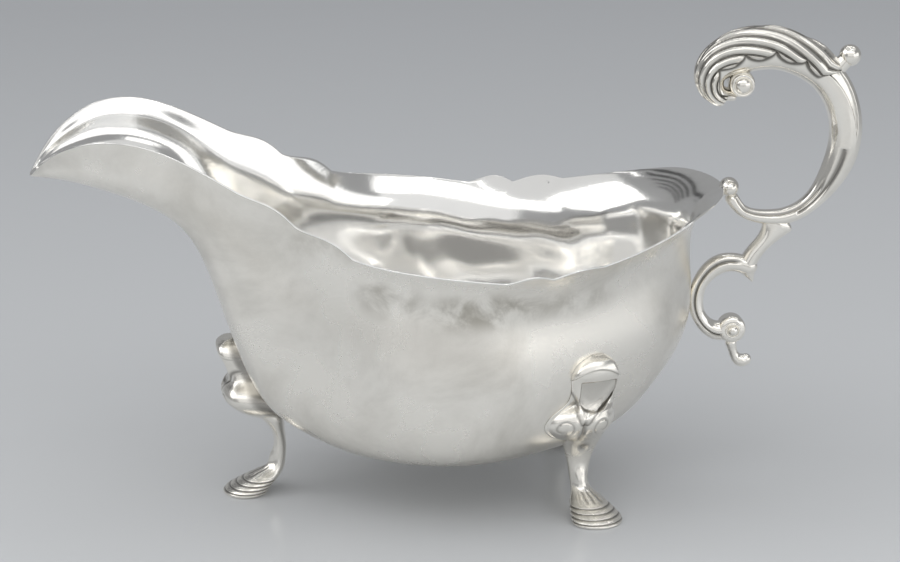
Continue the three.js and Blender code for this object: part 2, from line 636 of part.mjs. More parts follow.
function handle(block) {
  const group = new THREE.Group();
  const cast = (name, solid) => group.add(meshOf(name, solid, CAST_SILVER));
  const upper = upperScrollSolid().subtract(beadSolid(SOLDER_GAP)).subtract(block);
  const lower = lowerScrollSolid().subtract(block);
  const upperBlock = upperScrollSolid(SOLDER_GAP);
  const lowerBlock = lowerScrollSolid(SOLDER_GAP);
  const leaf = leafSolid().subtract(upperBlock);
  const curl = fromRim([CURL_CENTRE])[0];
  const volute = fromSeat([VOLUTE_CENTRE])[0];
  cast('handle_upper_scroll', upper);
  cast('handle_leaf_cap', leaf);
  cast('handle_thumb_knob', knobSolid().subtract(upperBlock).subtract(leafSolid(SOLDER_GAP)));
  cast('handle_rim_bead', beadSolid().subtract(block));
  cast('handle_strut', strutSolid().subtract(upperBlock).subtract(lowerBlock));
  cast('handle_lower_scroll', lower);
  cast('handle_tail', scroll(fromSeat(TAIL), SCROLL_STEPS.tail).subtract(lowerBlock));
  for (const [name, side] of [['left', -1], ['right', 1]]) {
    cast(`handle_curl_button_${name}`, button(CURL_BUTTON_RADIUS, CURL_HALF_WIDTH, curl, side));
    cast(`handle_lower_button_${name}`, button(VOLUTE_BUTTON_RADIUS, VOLUTE_HALF_WIDTH, volute, side));
  }
  return group;
}

function foot(name, side, block) {
  const front = side === 0;
  const station = front ? FRONT_LEG_STATION : REAR_LEG_STATION;
  const spread = side * REAR_LEG_SPREAD;
  const frame = legFrame(station, spread, REAR_LEG_ANGLE, REAR_PLATE_SHIFT);
  const hoofFrame = legFrame(station, spread, REAR_LEG_ANGLE + REAR_HOOF_TURN, 0);
  const plate = plateSolid(frame, front ? FRONT_PLATE_SHARE : 1);
  const group = new THREE.Group();
  group.add(meshOf(`${name}_leg`, legSolid(frame, hoofFrame).subtract(block), CAST_SILVER));
  const fitted = plate.subtract(block).subtract(legSolid(frame, hoofFrame, SOLDER_GAP));
  group.add(meshOf(`${name}_knee_plate`, fitted, CAST_SILVER));
  return group;
}

function sauceBoat() {
  const group = new THREE.Group();
  const block = solidOf(bowlBlock()).add(solidOf(bowlShell(SOLDER_GAP)));
  group.add(meshOf('bowl', bowlShell(), SILVER));
  group.add(handle(block));
  group.add(foot('front', 0, block));
  group.add(foot('left', -1, block));
  group.add(foot('right', 1, block));
  return group;
}

export default sauceBoat();
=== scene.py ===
"""Dresses a silver sauce boat: a hand-raised bowl with a long lip, a cast double-scroll handle under
a fluted leaf, and three cast legs with hoofs and knee plates.

Everything is in metres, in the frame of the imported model: the floor is z = 0, the lip points along
-X, the handle stands at +X, and the object is mirror symmetric about the plane y = 0.
"""
import math

import bmesh
import bpy
import numpy as np
from bpy.props import FloatProperty, FloatVectorProperty, PointerProperty
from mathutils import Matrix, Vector


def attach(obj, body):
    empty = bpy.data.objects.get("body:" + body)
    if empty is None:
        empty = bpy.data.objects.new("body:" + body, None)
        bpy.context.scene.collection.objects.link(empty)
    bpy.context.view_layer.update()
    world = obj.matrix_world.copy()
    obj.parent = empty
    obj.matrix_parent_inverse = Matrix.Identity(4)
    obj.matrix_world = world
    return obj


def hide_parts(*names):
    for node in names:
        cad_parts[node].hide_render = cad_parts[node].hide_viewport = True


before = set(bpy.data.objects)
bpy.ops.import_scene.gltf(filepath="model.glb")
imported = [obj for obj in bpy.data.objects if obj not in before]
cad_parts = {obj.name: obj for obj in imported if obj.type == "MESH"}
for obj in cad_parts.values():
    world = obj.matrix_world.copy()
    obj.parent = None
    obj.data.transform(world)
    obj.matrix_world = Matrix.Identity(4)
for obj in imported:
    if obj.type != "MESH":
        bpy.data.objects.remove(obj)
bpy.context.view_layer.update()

bl_info = {
    "name": "Silver sauce boat",
    "version": (1, 0, 0),
    "blender": (4, 5, 0),
    "location": "View3D > Sidebar > Sauce boat",
    "description": "Builds the finished pieces of a silver sauce boat, and a plain studio for it",
    "category": "Add Mesh",
}

MM = 0.001

# Rim, from the tip to the handle end: station along the bowl in percent of its length, half width
# in percent of the widest, height in percent of the body's depth above the bowl's underside
RIM = np.array([
    (0, 0, 131.8), (1, 11, 136.8), (3, 22, 144.5), (6, 34, 151.3), (9, 42.8, 155),
    (12, 48.5, 156.2), (15, 52.3, 155.5), (20, 56.8, 150.6), (26, 61.8, 141), (32, 67.5, 130.2),
    (38, 75.5, 119.6), (44, 86, 110.4), (50, 95, 105.8), (56, 99.6, 103.2), (62, 100, 101.1),
    (66, 98.7, 100), (72, 94.5, 100.5), (79, 86.7, 103.4), (86, 74.7, 108.3), (92, 59, 113.6),
    (96, 42.6, 117.2), (100, 0, 118.7),
])
# Scallops of the cut edge: station where each starts and ends, its height in mm, and its lean
SCALLOPS = [
    (28.6, 36.7, 1.5, 1.5), (36.7, 44.3, 1.7, 1.5), (44.3, 65.4, 0.4, 1),
    (65.4, 72, 1.6, 1.2), (72, 79.4, 1.2, 1),
]
# Keel, the line of the underside on the mirror plane: station and height, in percent as above
KEEL = np.array([
    (0, 131.8), (4, 132), (8, 130.2), (12, 126.9), (16, 122.4), (20, 115.5), (24, 98.5), (28, 62),
    (32, 32.9), (36, 20.1), (42, 9.9), (50, 3.8), (60, 0.4), (72, 0),
])
# Where on the keel the section that ends at each station of the rim starts, both in percent
SECTION_ROOT = np.array([
    (0, 0), (14, 14), (28, 28), (42, 41.5), (56, 54), (71, 63), (86, 68), (100, 70),
])
# Control points of a section, from the keel up to the rim, as shares of its reach (a) and of its
# height (b): station, a of the flat, then a and b of the bilge, belly, shoulder and neck
SECTIONS = np.array([
    (0, 0.3, 0.62, 0.05, 0.86, 0.23, 0.97, 0.48, 0.985, 0.78),
    (14, 0.3, 0.65, 0.04, 0.885, 0.235, 0.985, 0.5, 0.975, 0.78),
    (27, 0.28, 0.67, -0.03, 0.88, 0.24, 0.97, 0.56, 0.95, 0.82),
    (40, 0.32, 0.73, 0.005, 0.93, 0.275, 0.967, 0.615, 0.91, 0.86),
    (60, 0.36, 0.79, 0.05, 0.95, 0.3, 0.976, 0.65, 0.887, 0.86),
    (83, 0.34, 0.665, 0.13, 0.785, 0.28, 0.91, 0.615, 0.803, 0.86),
    (100, 0.31, 0.54, 0.115, 0.66, 0.24, 0.925, 0.53, 0.765, 0.93),
])
SECTION_KNOTS = (0, 0, 0, 0, 1, 2, 3, 4, 4, 4, 4)
SECTION_SPANS = 4
RIM_SHARE = 0.5  # thickness of the filed rim, as a share of the wall

# Scrolls as rows of x, z, half depth in the mirror plane and half width across it, in mm.
# The upper scroll, its leaf and the bead are measured from the back end of the rim.
UPPER_SCROLL = [
    (2.0, -3.6, 1.8, 2.4), (4.4, -6.6, 1.6, 2.3), (10.4, -8.6, 1.85, 2.5), (16.4, -8.3, 2.1, 2.7),
    (22.6, -4.7, 2.3, 3.0), (27.0, 1.0, 3.3, 3.4), (29.9, 7.5, 4.05, 3.8), (30.8, 13.8, 4.2, 3.9),
    (29.7, 20.4, 4.3, 4.0), (25.8, 27.4, 4.4, 4.1), (18.5, 32.6, 4.5, 4.2), (11.0, 34.9, 4.9, 4.3),
    (4.3, 34.3, 5.0, 4.3), (-1.4, 31.8, 4.2, 4.2), (-3.6, 28.4, 3.3, 4.2), (-2.4, 24.9, 2.3, 4.0),
    (1.2, 23.6, 1.4, 3.8),
]
CURL_CENTRE = (3.5, 26.8)
BEAD_CENTRE = (1.2, -0.5)
LEAF_START = 0.585  # share of the scroll's length where the leaf starts, near the knob
LEAF_END = 0.985
LEAF_SPREAD = 105.0  # degrees of the scroll's section that the leaf covers on each flank
LEAF_LOBES = 4
LEAF_WIDENING = (0.35, 2.3)  # share of the spread at its pointed end, and how fast it widens
LEAF_SWEEP = 0.85  # share of the leaf's length that a flute takes from the middle to its lobe
KNOB_CENTRE = (31.3, 33.1)
KNOB_NECK = [(27.1, 28.9, 2.4, 2.4), (29.2, 31.0, 2.1, 2.2), (31.3, 33.1, 2.0, 2.2)]
# The lower scroll and what hangs from it are measured from the back wall of the bowl
LOWER_SCROLL = [
    (15.0, 8.1, 2.5, 2.5), (11.8, 9.1, 2.4, 2.5), (7.8, 8.8, 2.5, 2.5), (4.9, 6.9, 2.3, 2.5),
    (2.7, 3.8, 2.0, 2.4), (1.7, 0, 2.0, 2.3), (2.2, -3.9, 1.9, 2.4), (4.4, -7.3, 2.1, 2.5),
    (7.4, -8.9, 2.5, 2.6), (10.4, -8.6, 2.6, 2.7),
]
SPUR = [(14.6, 8.1, 2.3, 2.2), (15.4, 6.1, 1.5, 1.8), (16.1, 4.4, 0.5, 0.8)]
VOLUTE_CENTRE = (11.05, -8.3)
TAIL = [
    (11.1, -12.4, 1.5, 1.7), (11.5, -14.1, 1.2, 1.5), (12.4, -16.2, 1.35, 1.5),
    (13.8, -17.2, 1.7, 1.7), (15.0, -17.0, 1.5, 1.5),
]
STRUT_HEAD = [(13.7, -10.4, 4.4, 2.1), (11.7, -13.6, 2.6, 2.2)]
STRUT_FOOT = [(16.0, 10.9, 2.2, 2.3), (14.9, 8.9, 2.3, 2.4)]

# Leg and hoof as level slices in mm: height, back and front reach from the ankle, half width
LEG = np.array([
    (0, 3.5, 15.0, 6.5), (1.0, 3.1, 14.6, 6.65), (2.2, 2.2, 12.8, 6.15), (3.4, 1.2, 10.6, 5.4),
    (4.6, 0.2, 8.2, 4.45), (5.6, -0.4, 6.0, 3.5), (6.6, -0.8, 4.0, 2.8), (8.3, -1.1, 2.2, 2.4),
    (10.2, -1.3, 1.6, 2.5), (12.2, -1.4, 1.6, 2.8), (14.2, -1.3, 1.8, 3.25),
    (16.2, -1.1, 2.3, 3.85), (18.1, -1.0, 3.4, 4.5), (20, -1.0, 5.0, 5.1), (22.3, -1.0, 7.5, 5.4),
])
# Knee plate: share of its height, reach of its face from the ankle, half width, and how far the
# face falls back from its middle to its edges
KNEE = np.array([
    (0, 4.6, 2.8, 0.8), (0.06, 7.2, 5.2, 1.8), (0.12, 9.6, 7.8, 2.8), (0.2, 12.3, 10.0, 4.0),
    (0.28, 14.1, 11.2, 4.6), (0.36, 14.7, 11.0, 4.4), (0.44, 14.1, 9.6, 3.8),
    (0.51, 13.6, 7.6, 2.6), (0.58, 13.7, 6.5, 2.0), (0.66, 14.2, 6.2, 1.8), (0.74, 15.0, 6.4, 1.8),
    (0.82, 15.9, 6.4, 1.9), (0.9, 15.8, 5.4, 1.6), (0.96, 15.1, 3.8, 1.0), (1, 14.4, 1.6, 0.3),
])
KNEE_FOOT = 20.0  # height of the plate's lower end, in mm
HOOF_PITCH = 0.92  # between two ridges of a hoof, in mm
KNEE_LEAN = 1.6  # the low relief of a rear plate sits this far towards the bowl's middle, in mm
FRONT_LIFT = 0.0005  # the edges of the front plate stand off the bowl
FRONT_RELIEF = 0.5  # the relief of the front plate, as a share of that of a rear one
FRONT_FALL, FRONT_TOP = 1.5, (23.2, 25.6)  # it falls back by this between these heights, in mm
FRONT_EDGE_SHADOW = 0.75  # how dark the painted shadow of the gap round the front plate's edges is
MOST_BACK = 0.02  # the bowl's face lies no further back from an ankle than this

# The sheet of the bowl, in metres
HAMMER_WAVES = (0.034, 0.027, 0.021, 0.017, 0.013, 0.010)  # lengths of the hammer's waves
HAMMER_SEED = 7
WAVE_SUM = 0.022  # what the heights of the waves are divided by
CALM = (0.0005, 0.006)  # no waves nearer than this to the rim and the keel, and full ones beyond
SECTION_LENGTH = 0.06  # of a section from keel to rim, roughly: turns a rise into metres
RIM_TAPER = 0.007  # the sheet thins towards the rim over this
END_THINNING = 0.6  # how much thinner the sheet gets at the tip, as a share
JOIN_DISTANCE = 2e-6  # corners nearer than this are one
FACE_STEP = 0.004  # step in turn and rise by which the slope of the face is taken
KEEL_STEP = 0.03  # rise below which the face keeps the slope that it has there
LEAST_SLOPE = 0.008  # in metres per rise, at the tip, where the sections are short

# Channels along both flanks of a scroll: flank angle and breadth in degrees, first and last row
# of the scroll's table, and the rows over which the channel's ends run out
INNER_CHANNEL = (128, 13, 0.6, 4.3, 0.9)
SIDE_CHANNEL = (96, 12, 3.4, 6.25, 0.12)
LOWER_CHANNEL = (70, 12, 1.2, 8.6, 0.7)
PANEL_FLANK, PANEL_REACH = 58, 25  # middle and half breadth of the back's sunk panel, in degrees
LEAF_BED = 0.0002  # the leaf lies this far above the scroll
LEAF_LEAST = 0.0003  # the leaf is nowhere thinner than this, short of its edge
VEIN_DEPTH = 0.0003  # of the line along the middle of the leaf

# Heights on a leg, in mm
HOOF_TOP = (4.0, 4.7)  # the hoof's ridges fade out between these
FAN = (4.9, 6.3)  # the folds over the hoof lie between these
HOOF_BEND = (5.6, 9.5)  # the hoof's own turn fades out between these
BOSS_HEIGHT = 9.3
NOTCH_HEIGHT = 18.2

# Relief of a knee plate, in mm out from its middle line and above its foot
HOOD_EDGE = 22.7  # lower edge of the hood
SUNK_TOP = (18.9, 19.4)  # the sunk D under the hood ends between these
SUNK_ARC = 14.8  # below this height the D closes in an arc
SUNK_RADII = (4.9, 3.9)  # of the arc, across and down
STRAP_FOOT = 9.2  # the two straps meet at this height
STRAP_RUN = (5.9, 9.3)  # out and up from there to the end of a strap
LOBE_CENTRE = (5.3, 7.2)
LOBE_RADIUS = 5.9
SCROLL_PITCH = 2.3  # of the spiral cut into a lobe
PLATE_LEAST = 0.0004  # thickness that a plate keeps everywhere short of its edge, in metres

# Round bodies of the handle: radius and half length along their axis, in metres
CURL_DISC = (0.0034, 0.004)
VOLUTE_DISC = (0.0036, 0.0028)
BEAD_HALF = 0.0032
BUTTON_HEIGHT = 0.0016
CURL_BUTTON = (0.0029, 0.0038)  # radius, and where it stands on the curl
LOWER_BUTTON = (0.0020, 0.0026)
END_RINGS = 8  # rings that close each end of a bar

# Soft patches of rubbed-in dirt outside the bowl: centre, reach along each axis, and strength
SMUDGES = [
    ((0.004, -0.042, 0.0600), (0.026, 0.02, 0.0070), 0.75),
    ((0.030, -0.043, 0.0600), (0.014, 0.02, 0.0065), 0.5),
    ((-0.018, -0.034, 0.0640), (0.012, 0.02, 0.0090), 0.8),
    ((-0.030, -0.030, 0.0760), (0.018, 0.02, 0.0060), 0.5),
]
# Scratches run three ways: the turn and the stretch of the noise that each comes from
SCRATCH_WAYS = [
    ((0.2, 0.9, 0.35), (26, 900, 620)), ((1.1, -0.5, 0.8), (700, 30, 840)),
    ((-0.4, 0.3, -0.9), (540, 760, 22)),
]
HAZE_ROUGHNESS = 0.07  # that full haze adds
DIRT_ROUGHNESS = 0.22  # that full dirt adds
PAINTED_SHADE_DARK = 0.85  # share of the near-black colour where the painted shade is full
PIT_DARK = 0.6
PIT_LEVEL = 0.735  # the noise has pits where it is above this
PIT_DEPTH = 1.1  # in depths of a scratch
SCRATCH_DEPTH = 0.00002  # in metres

# Soft lights: name, width and height, power in watts, place, and the point that each looks at
LIGHTS = [
    ("overhead", (2.0, 1.4), 3.2, (0, -0.1, 1.15), (0, 0, 0)),
    ("strip", (1.9, 0.022), 0.45, (0.1, -0.42, 1.13), (0, -0.21, 0)),
    ("strip", (1.9, 0.022), 0.6, (0.1, 0.06, 1.13), (0, 0.03, 0)),
    ("strip", (1.9, 0.022), 0.55, (0.1, 0.5, 1.13), (0, 0.25, 0)),
    ("side_left", (1.35, 1.05), 7.0, (-1.42, -0.09, 1.1), (0, 0, 0.07)),
    ("side_right", (2.4, 0.85), 5.7, (1.82, -1.05, 0.45), (-0.05, 0, 0.08)),
    ("front", (2.8, 1.3), 5.6, (0, -1.85, 0.75), (0, 0, 0.07)),
    ("front_high", (2.7, 0.5), 4.4, (-0.1, -1.0, 1.12), (0, 0, 0.07)),
]
SENSOR_WIDTH = 36.0  # of the camera, in mm
ROOM_COLOUR = (0.54, 0.55, 0.56, 1)  # of the even light on the floor
ROOM_MIRRORED = (0.31, 0.315, 0.322, 1)  # of the same room as the metal mirrors it
FLOOR_REACH = 4.0
FLOOR_STEPS = (-0.55, -0.15, 0.57)  # y where the floor has its front, near and far colour, painted darker towards the back as painted shade
FLOOR_ROUGHNESS = 0.2
FLOOR_GLOSS = 0.22
# Dark slats behind the object: the low corner on the left, number, width, gap and height
SLAT_CORNER = (-1.225, 0.9, 0.36)
SLAT_COUNT, SLAT_WIDTH, SLAT_GAP, SLAT_HEIGHT = 5, 0.1, 0.09, 0.62
FELT_COLOURS = ((0.015, 0.015, 0.016, 1), (0.05, 0.05, 0.051, 1))


class SauceBoatBowl(bpy.types.PropertyGroup):
    """Sizes of the raised bowl."""

    length: FloatProperty(
        name="Length", description="Tip of the lip to the back end of the rim",
        default=0.175, unit="LENGTH")
    width: FloatProperty(
        name="Width", description="Across the rim at its widest", default=0.0948, unit="LENGTH")
    depth: FloatProperty(
        name="Body depth", description="Lowest point of the rim above the underside",
        default=0.0557, unit="LENGTH")
    clearance: FloatProperty(
        name="Clearance", description="Underside above the floor", default=0.0121, unit="LENGTH")
    tip: FloatProperty(
        name="Tip", description="X of the tip of the lip", default=-0.105, unit="LENGTH")
    wall: FloatProperty(
        name="Wall", description="Thickness of the sheet", default=0.001, unit="LENGTH")
    ripple: FloatProperty(
        name="Ripple", description="Height of the waves left by the hammer inside the bowl",
        default=0.00024, unit="LENGTH")


class SauceBoatHandle(bpy.types.PropertyGroup):
    """Sizes of the cast handle."""

    seat_drop: FloatProperty(
        name="Seat drop", description="Seat of the lower scroll below the end of the rim",
        default=0.0297, unit="LENGTH")
    leaf_thickness: FloatProperty(
        name="Leaf thickness", description="Of the leaf over the upper scroll",
        default=0.0013, unit="LENGTH")
    flute_depth: FloatProperty(
        name="Flute depth", description="Of the hollows between the leaf's ribs",
        default=0.0009, unit="LENGTH")
    groove_depth: FloatProperty(
        name="Groove depth", description="Of the channels along the scrolls",
        default=0.0006, unit="LENGTH")
    bead_radius: FloatProperty(
        name="Bead radius", description="Of the bead behind the rim", default=0.0025, unit="LENGTH")
    knob_radius: FloatProperty(
        name="Knob radius", description="Of the thumb knob", default=0.0028, unit="LENGTH")


class SauceBoatFeet(bpy.types.PropertyGroup):
    """Places and sizes of the cast legs."""

    front_station: FloatProperty(
        name="Front station", description="Place of the front leg along the bowl",
        default=35.1, subtype="PERCENTAGE")
    rear_station: FloatProperty(
        name="Rear station", description="Place of the rear legs along the bowl",
        default=77.3, subtype="PERCENTAGE")
    rear_spread: FloatProperty(
        name="Rear spread", description="How far out a rear leg stands, as a share of half width",
        default=0.477)
    leg_angle: FloatProperty(
        name="Leg angle", description="How far a rear leg turns back from straight out",
        default=math.radians(14), subtype="ANGLE")
    hoof_turn: FloatProperty(
        name="Hoof turn", description="How far its hoof turns further back",
        default=math.radians(11), subtype="ANGLE")
    plate_height: FloatProperty(
        name="Plate height", description="Height of a rear knee plate", default=0.0256,
        unit="LENGTH")
    front_plate_share: FloatProperty(
        name="Front plate share", description="Height of the front plate to that of a rear one",
        default=0.87)
    plate_shift: FloatProperty(
        name="Plate shift", description="Shift of a rear plate to the bowl's middle, per fall",
        default=0.55)
    plate_gap: FloatProperty(
        name="Plate gap", description="Left between a knee plate's back and the bowl",
        default=0.00006, unit="LENGTH")


class SauceBoatFinish(bpy.types.PropertyGroup):
    """Colours and polish of the silver."""

    silver: FloatVectorProperty(
        name="Silver", description="Colour of the clean metal", subtype="COLOR",
        default=(0.955, 0.928, 0.868), min=0, max=1)
    bright_silver: FloatVectorProperty(
        name="Bright silver", description="Colour of the metal inside the bowl", subtype="COLOR",
        default=(0.95, 0.94, 0.915), min=0, max=1)
    tarnish: FloatVectorProperty(
        name="Tarnish", description="Colour of thin tarnish and rubbed-in dirt", subtype="COLOR",
        default=(0.40, 0.375, 0.32), min=0, max=1)
    # Painted shade: the near-black colour painted into cast hollows, creases and under edges in place
    # of their shade; pits are darkened with it too
    shade_and_pit_colour: FloatVectorProperty(
        name="Recess", description="Colour of the dark at the bottom of cast hollows",
        subtype="COLOR", default=(0.07, 0.065, 0.055), min=0, max=1)
    outside_roughness: FloatProperty(
        name="Outside roughness", description="Of the bowl's rubbed outer face", default=0.27)
    inside_roughness: FloatProperty(
        name="Inside roughness", description="Of the bowl's bright inner face", default=0.11)
    cast_roughness: FloatProperty(
        name="Cast roughness", description="Of the polished castings", default=0.13)
    feet_roughness: FloatProperty(
        name="Feet roughness", description="Of the softer castings of the feet", default=0.23)


class SauceBoatStage(bpy.types.PropertyGroup):
    """Camera, floor and lights."""

    azimuth: FloatProperty(
        name="Azimuth", description="Camera's turn round the object from straight in front",
        default=math.radians(-5.5), subtype="ANGLE")
    elevation: FloatProperty(
        name="Elevation", description="Camera's height above the horizon",
        default=math.radians(17), subtype="ANGLE")
    distance: FloatProperty(
        name="Distance", description="Camera to the point it looks at", default=0.9, unit="LENGTH")
    aim_height: FloatProperty(
        name="Aim height", description="Height of that point", default=0.0548, unit="LENGTH")
    lens: FloatProperty(
        name="Lens", description="Focal length on a 36 mm sensor, in mm", default=141.72)
    floor_front: FloatVectorProperty(
        name="Floor front", description="Colour of the floor below the camera", subtype="COLOR",
        default=(0.62, 0.62, 0.615), min=0, max=1)
    floor_near: FloatVectorProperty(
        name="Floor near", description="Colour of the floor in front", subtype="COLOR",
        default=(0.60, 0.61, 0.62), min=0, max=1)
    # Painted shade: the floor's colour behind, darker where its light falls off
    floor_far_shaded: FloatVectorProperty(
        name="Floor far", description="Colour of the floor behind", subtype="COLOR",
        default=(0.41, 0.42, 0.437), min=0, max=1)


def spline(rows, column=None):
    """A natural cubic spline through rows whose first number is the place: cubic pieces through
    every row, with equal slope and bend where they meet and no bend at either end."""
    rows = np.asarray(rows, float)
    place = rows[:, 0]
    values = rows[:, 1:] if column is None else rows[:, column:column + 1]
    step = np.diff(place)
    system = np.eye(len(place))
    inner = np.arange(1, len(place) - 1)
    system[inner, inner - 1] = step[:-1]
    system[inner, inner] = 2 * (step[:-1] + step[1:])
    system[inner, inner + 1] = step[1:]
    jumps = np.zeros_like(values)
    jumps[1:-1] = 6 * np.diff(np.diff(values, axis=0) / step[:, None], axis=0)
    bends = np.linalg.solve(system, jumps)

    def curve(at):
        at = np.asarray(at, float)
        i = np.clip(np.searchsorted(place, at, side="right") - 1, 0, len(place) - 2)
        after = ((at - place[i]) / step[i])[..., None]
        before = 1 - after
        sag = (before**3 - before) * bends[i] + (after**3 - after) * bends[i + 1]
        found = before * values[i] + after * values[i + 1] + sag * step[i][..., None] ** 2 / 6
        return found if column is None else found[..., 0]

    return curve


def smooth_step(value, low, high):
    """0 below low, 1 above high, and 3t^2 - 2t^3 between them."""
    share = np.clip((value - low) / (high - low), 0, 1)
    return share * share * (3 - 2 * share)


def ridge(value, width):
    """A smooth hump exp(-(value / width)^2), 1 at zero."""
    return np.exp(-((value / width) ** 2))


class BowlShape:
    """The bowl's face as a surface of two parameters. turn goes along the rim from 0 at the tip to
    1 at the handle end, and rise goes up a section from 0 at the keel to 1 at the plain rim. Each
    section is a cubic B-spline with seven control points between its root on the keel and its
    point of the rim; the rim's squared half width is a spline, which rounds both ends."""

    def __init__(self, size):
        self.size = size
        self.rim_square = spline(np.column_stack([RIM[:, 0], RIM[:, 1] ** 2]), 1)
        self.rim_height = spline(RIM, 2)
        self.keel_height = spline(KEEL, 1)
        self.root = spline(SECTION_ROOT, 1)
        self.shares = spline(SECTIONS)

    def height_of(self, percent):
        """Height above the floor of a share of the body's depth above the underside."""
        return self.size.clearance + percent / 100 * self.size.depth

    def x_of(self, station):
        """X of a station along the bowl."""
        return self.size.tip + station / 100 * self.size.length

    def station(self, turn):
        """50 (1 - cos(pi turn)), which brings the sections close together at the round ends."""
        return 50 * (1 - np.cos(np.pi * turn))

    def half_width(self, turn):
        """Half the width of the rim: the square root of its spline."""
        half = np.sqrt(np.maximum(0, self.rim_square(self.station(turn))))
        return half * self.size.width / 200

    def section_weights(self, rise):
        """Weights of the control points: the Cox and de Boor recursion on clamped knots."""
        at = rise * SECTION_SPANS
        span = np.clip(np.floor(at), 0, SECTION_SPANS - 1)
        weights = [np.where(span == i - 3, 1.0, 0.0) for i in range(len(SECTION_KNOTS) - 1)]
        for degree in (1, 2, 3):
            raised = []
            for i in range(len(weights) - 1):
                left = SECTION_KNOTS[i + degree] - SECTION_KNOTS[i]
                right = SECTION_KNOTS[i + degree + 1] - SECTION_KNOTS[i + 1]
                before = (at - SECTION_KNOTS[i]) / left * weights[i] if left else 0
                after = (SECTION_KNOTS[i + degree + 1] - at) / right * weights[i + 1] if right else 0
                raised.append(before + after)
            weights = raised
        return np.stack(weights, -1)

    def points(self, turn, rise):
        """Points of the outer face on the near side, where y is negative."""
        turn, rise = np.broadcast_arrays(turn, rise)
        station = self.station(turn)
        root = self.root(station)
        share = self.shares(station)
        zero, one = np.zeros_like(station), np.ones_like(station)
        reach = [zero, share[..., 0], share[..., 1], share[..., 3], share[..., 5], share[..., 7], one]
        climb = [zero, zero, share[..., 2], share[..., 4], share[..., 6], share[..., 8], one]
        weights = self.section_weights(rise)
        out = (weights * np.stack(reach, -1)).sum(-1)
        up = (weights * np.stack(climb, -1)).sum(-1)
        low = self.height_of(self.keel_height(root))
        high = self.height_of(self.rim_height(station))
        x = self.x_of(root) + out * (self.x_of(station) - self.x_of(root))
        return np.stack([x, -out * self.half_width(turn), low + up * (high - low)], -1)

    def normals(self, turn, rise):
        """Outward unit normals: the cross product of the face's slopes along and up, taken a
        little way in from the ends and the keel, where the sections meet in a point."""
        step = FACE_STEP
        turn, rise = np.broadcast_arrays(turn, rise)
        u, v = np.clip(turn, 5 * step, 1 - 5 * step), np.maximum(KEEL_STEP, rise)
        normal = np.cross(self.points(u + step, v) - self.points(u - step, v),
                          self.points(u, v + step) - self.points(u, v - step))
        on_mirror = (rise <= 0) | (turn <= 0) | (turn >= 1)
        normal[..., 1] = np.where(on_mirror, 0, normal[..., 1])
        return normal / np.linalg.norm(normal, axis=-1, keepdims=True)

    def edge_rise(self, turn, lift):
        """Rise of the cut edge: past the plain rim by its scallops, h sin(pi s^lean), and by lift."""
        station = self.station(turn)
        extra = np.zeros_like(station)
        for start, end, height, lean in SCALLOPS:
            share = np.clip((station - start) / (end - start), 0, 1)
            extra += height * MM * np.sin(np.pi * share**lean)
        tall = self.height_of(self.rim_height(station)) - self.height_of(
            self.keel_height(self.root(station)))
        slope = 3 * SECTION_SPANS * (1 - self.shares(station)[..., 8])
        return 1 + (extra + lift) / np.maximum(LEAST_SLOPE, tall * slope)

    def thickness(self, turn):
        """The wall, hammered thinner at both ends by a share of 1 - tanh(half width / 4 walls)."""
        wall = self.size.wall
        return wall * (1 - END_THINNING * (1 - np.tanh(self.half_width(turn) / (4 * wall))))


def hammer_waves(points, height):
    """Low waves left by the hammer: a sum of sines of the place, each along its own line and
    higher the longer it is, by length^1.3."""
    source = np.random.default_rng(HAMMER_SEED)
    total = np.zeros(points.shape[:-1])
    for length in HAMMER_WAVES:
        way = source.normal(size=3)
        way *= 2 * np.pi / (length * np.linalg.norm(way))
        total += np.sin(points @ way + source.uniform(0, 2 * np.pi)) * length**1.3
    return total * height / WAVE_SUM


def grid_faces(rows, columns, closed=False, first=0):
    """Corner numbers of the quads of a grid of points, closed round its columns or not."""
    row = np.arange(rows - 1)[:, None]
    column = np.arange(columns if closed else columns - 1)[None, :]
    after = (column + 1) % columns
    corners = [row * columns + column, row * columns + after,
               (row + 1) * columns + after, (row + 1) * columns + column]
    return first + np.stack(np.broadcast_arrays(*corners), -1).reshape(-1, 4)


def add_mesh(name, sheets, materials, node, shade_marks=None, kinds=None):
    """A smooth closed mesh in place of a CAD node, from sheets, each (grid of points, closed round
    its columns). Corners that meet are joined. The marks give for each sheet its painted shade,
    0 to 1, for the material, or None, and kinds the material number of each sheet."""
    faces, numbers, depths, first = [], [], [], 0
    for number, (grid, closed) in enumerate(sheets):
        made = grid_faces(grid.shape[0], grid.shape[1], closed, first)
        faces.append(made)
        numbers.append(np.full(len(made), kinds[number] if kinds else 0))
        # The painted shade of each point, dark where shade falls in hollows, creases and under edges
        shade_mark = shade_marks[number] if shade_marks else None
        depths.append(np.zeros(grid.shape[:2]).ravel() if shade_mark is None else shade_mark.ravel())
        first += len(depths[-1])
    mesh = bpy.data.meshes.new(name)
    points = np.concatenate([grid.reshape(-1, 3) for grid, _ in sheets])
    mesh.from_pydata(points, [], np.concatenate(faces))
    mesh.polygons.foreach_set("material_index", np.concatenate(numbers).astype(np.int32))
    # Painted shade: how dark each point is painted in place of its shade
    painted_shade = mesh.attributes.new("painted_shade", "FLOAT", "POINT")
    painted_shade.data.foreach_set("value", np.concatenate(depths).astype(np.float32))
    for material in materials:
        mesh.materials.append(material)
    tidy_mesh(mesh)
    piece = bpy.data.objects.new(name, mesh)
    bpy.context.scene.collection.objects.link(piece)
    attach(piece, "root")
    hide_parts(node)


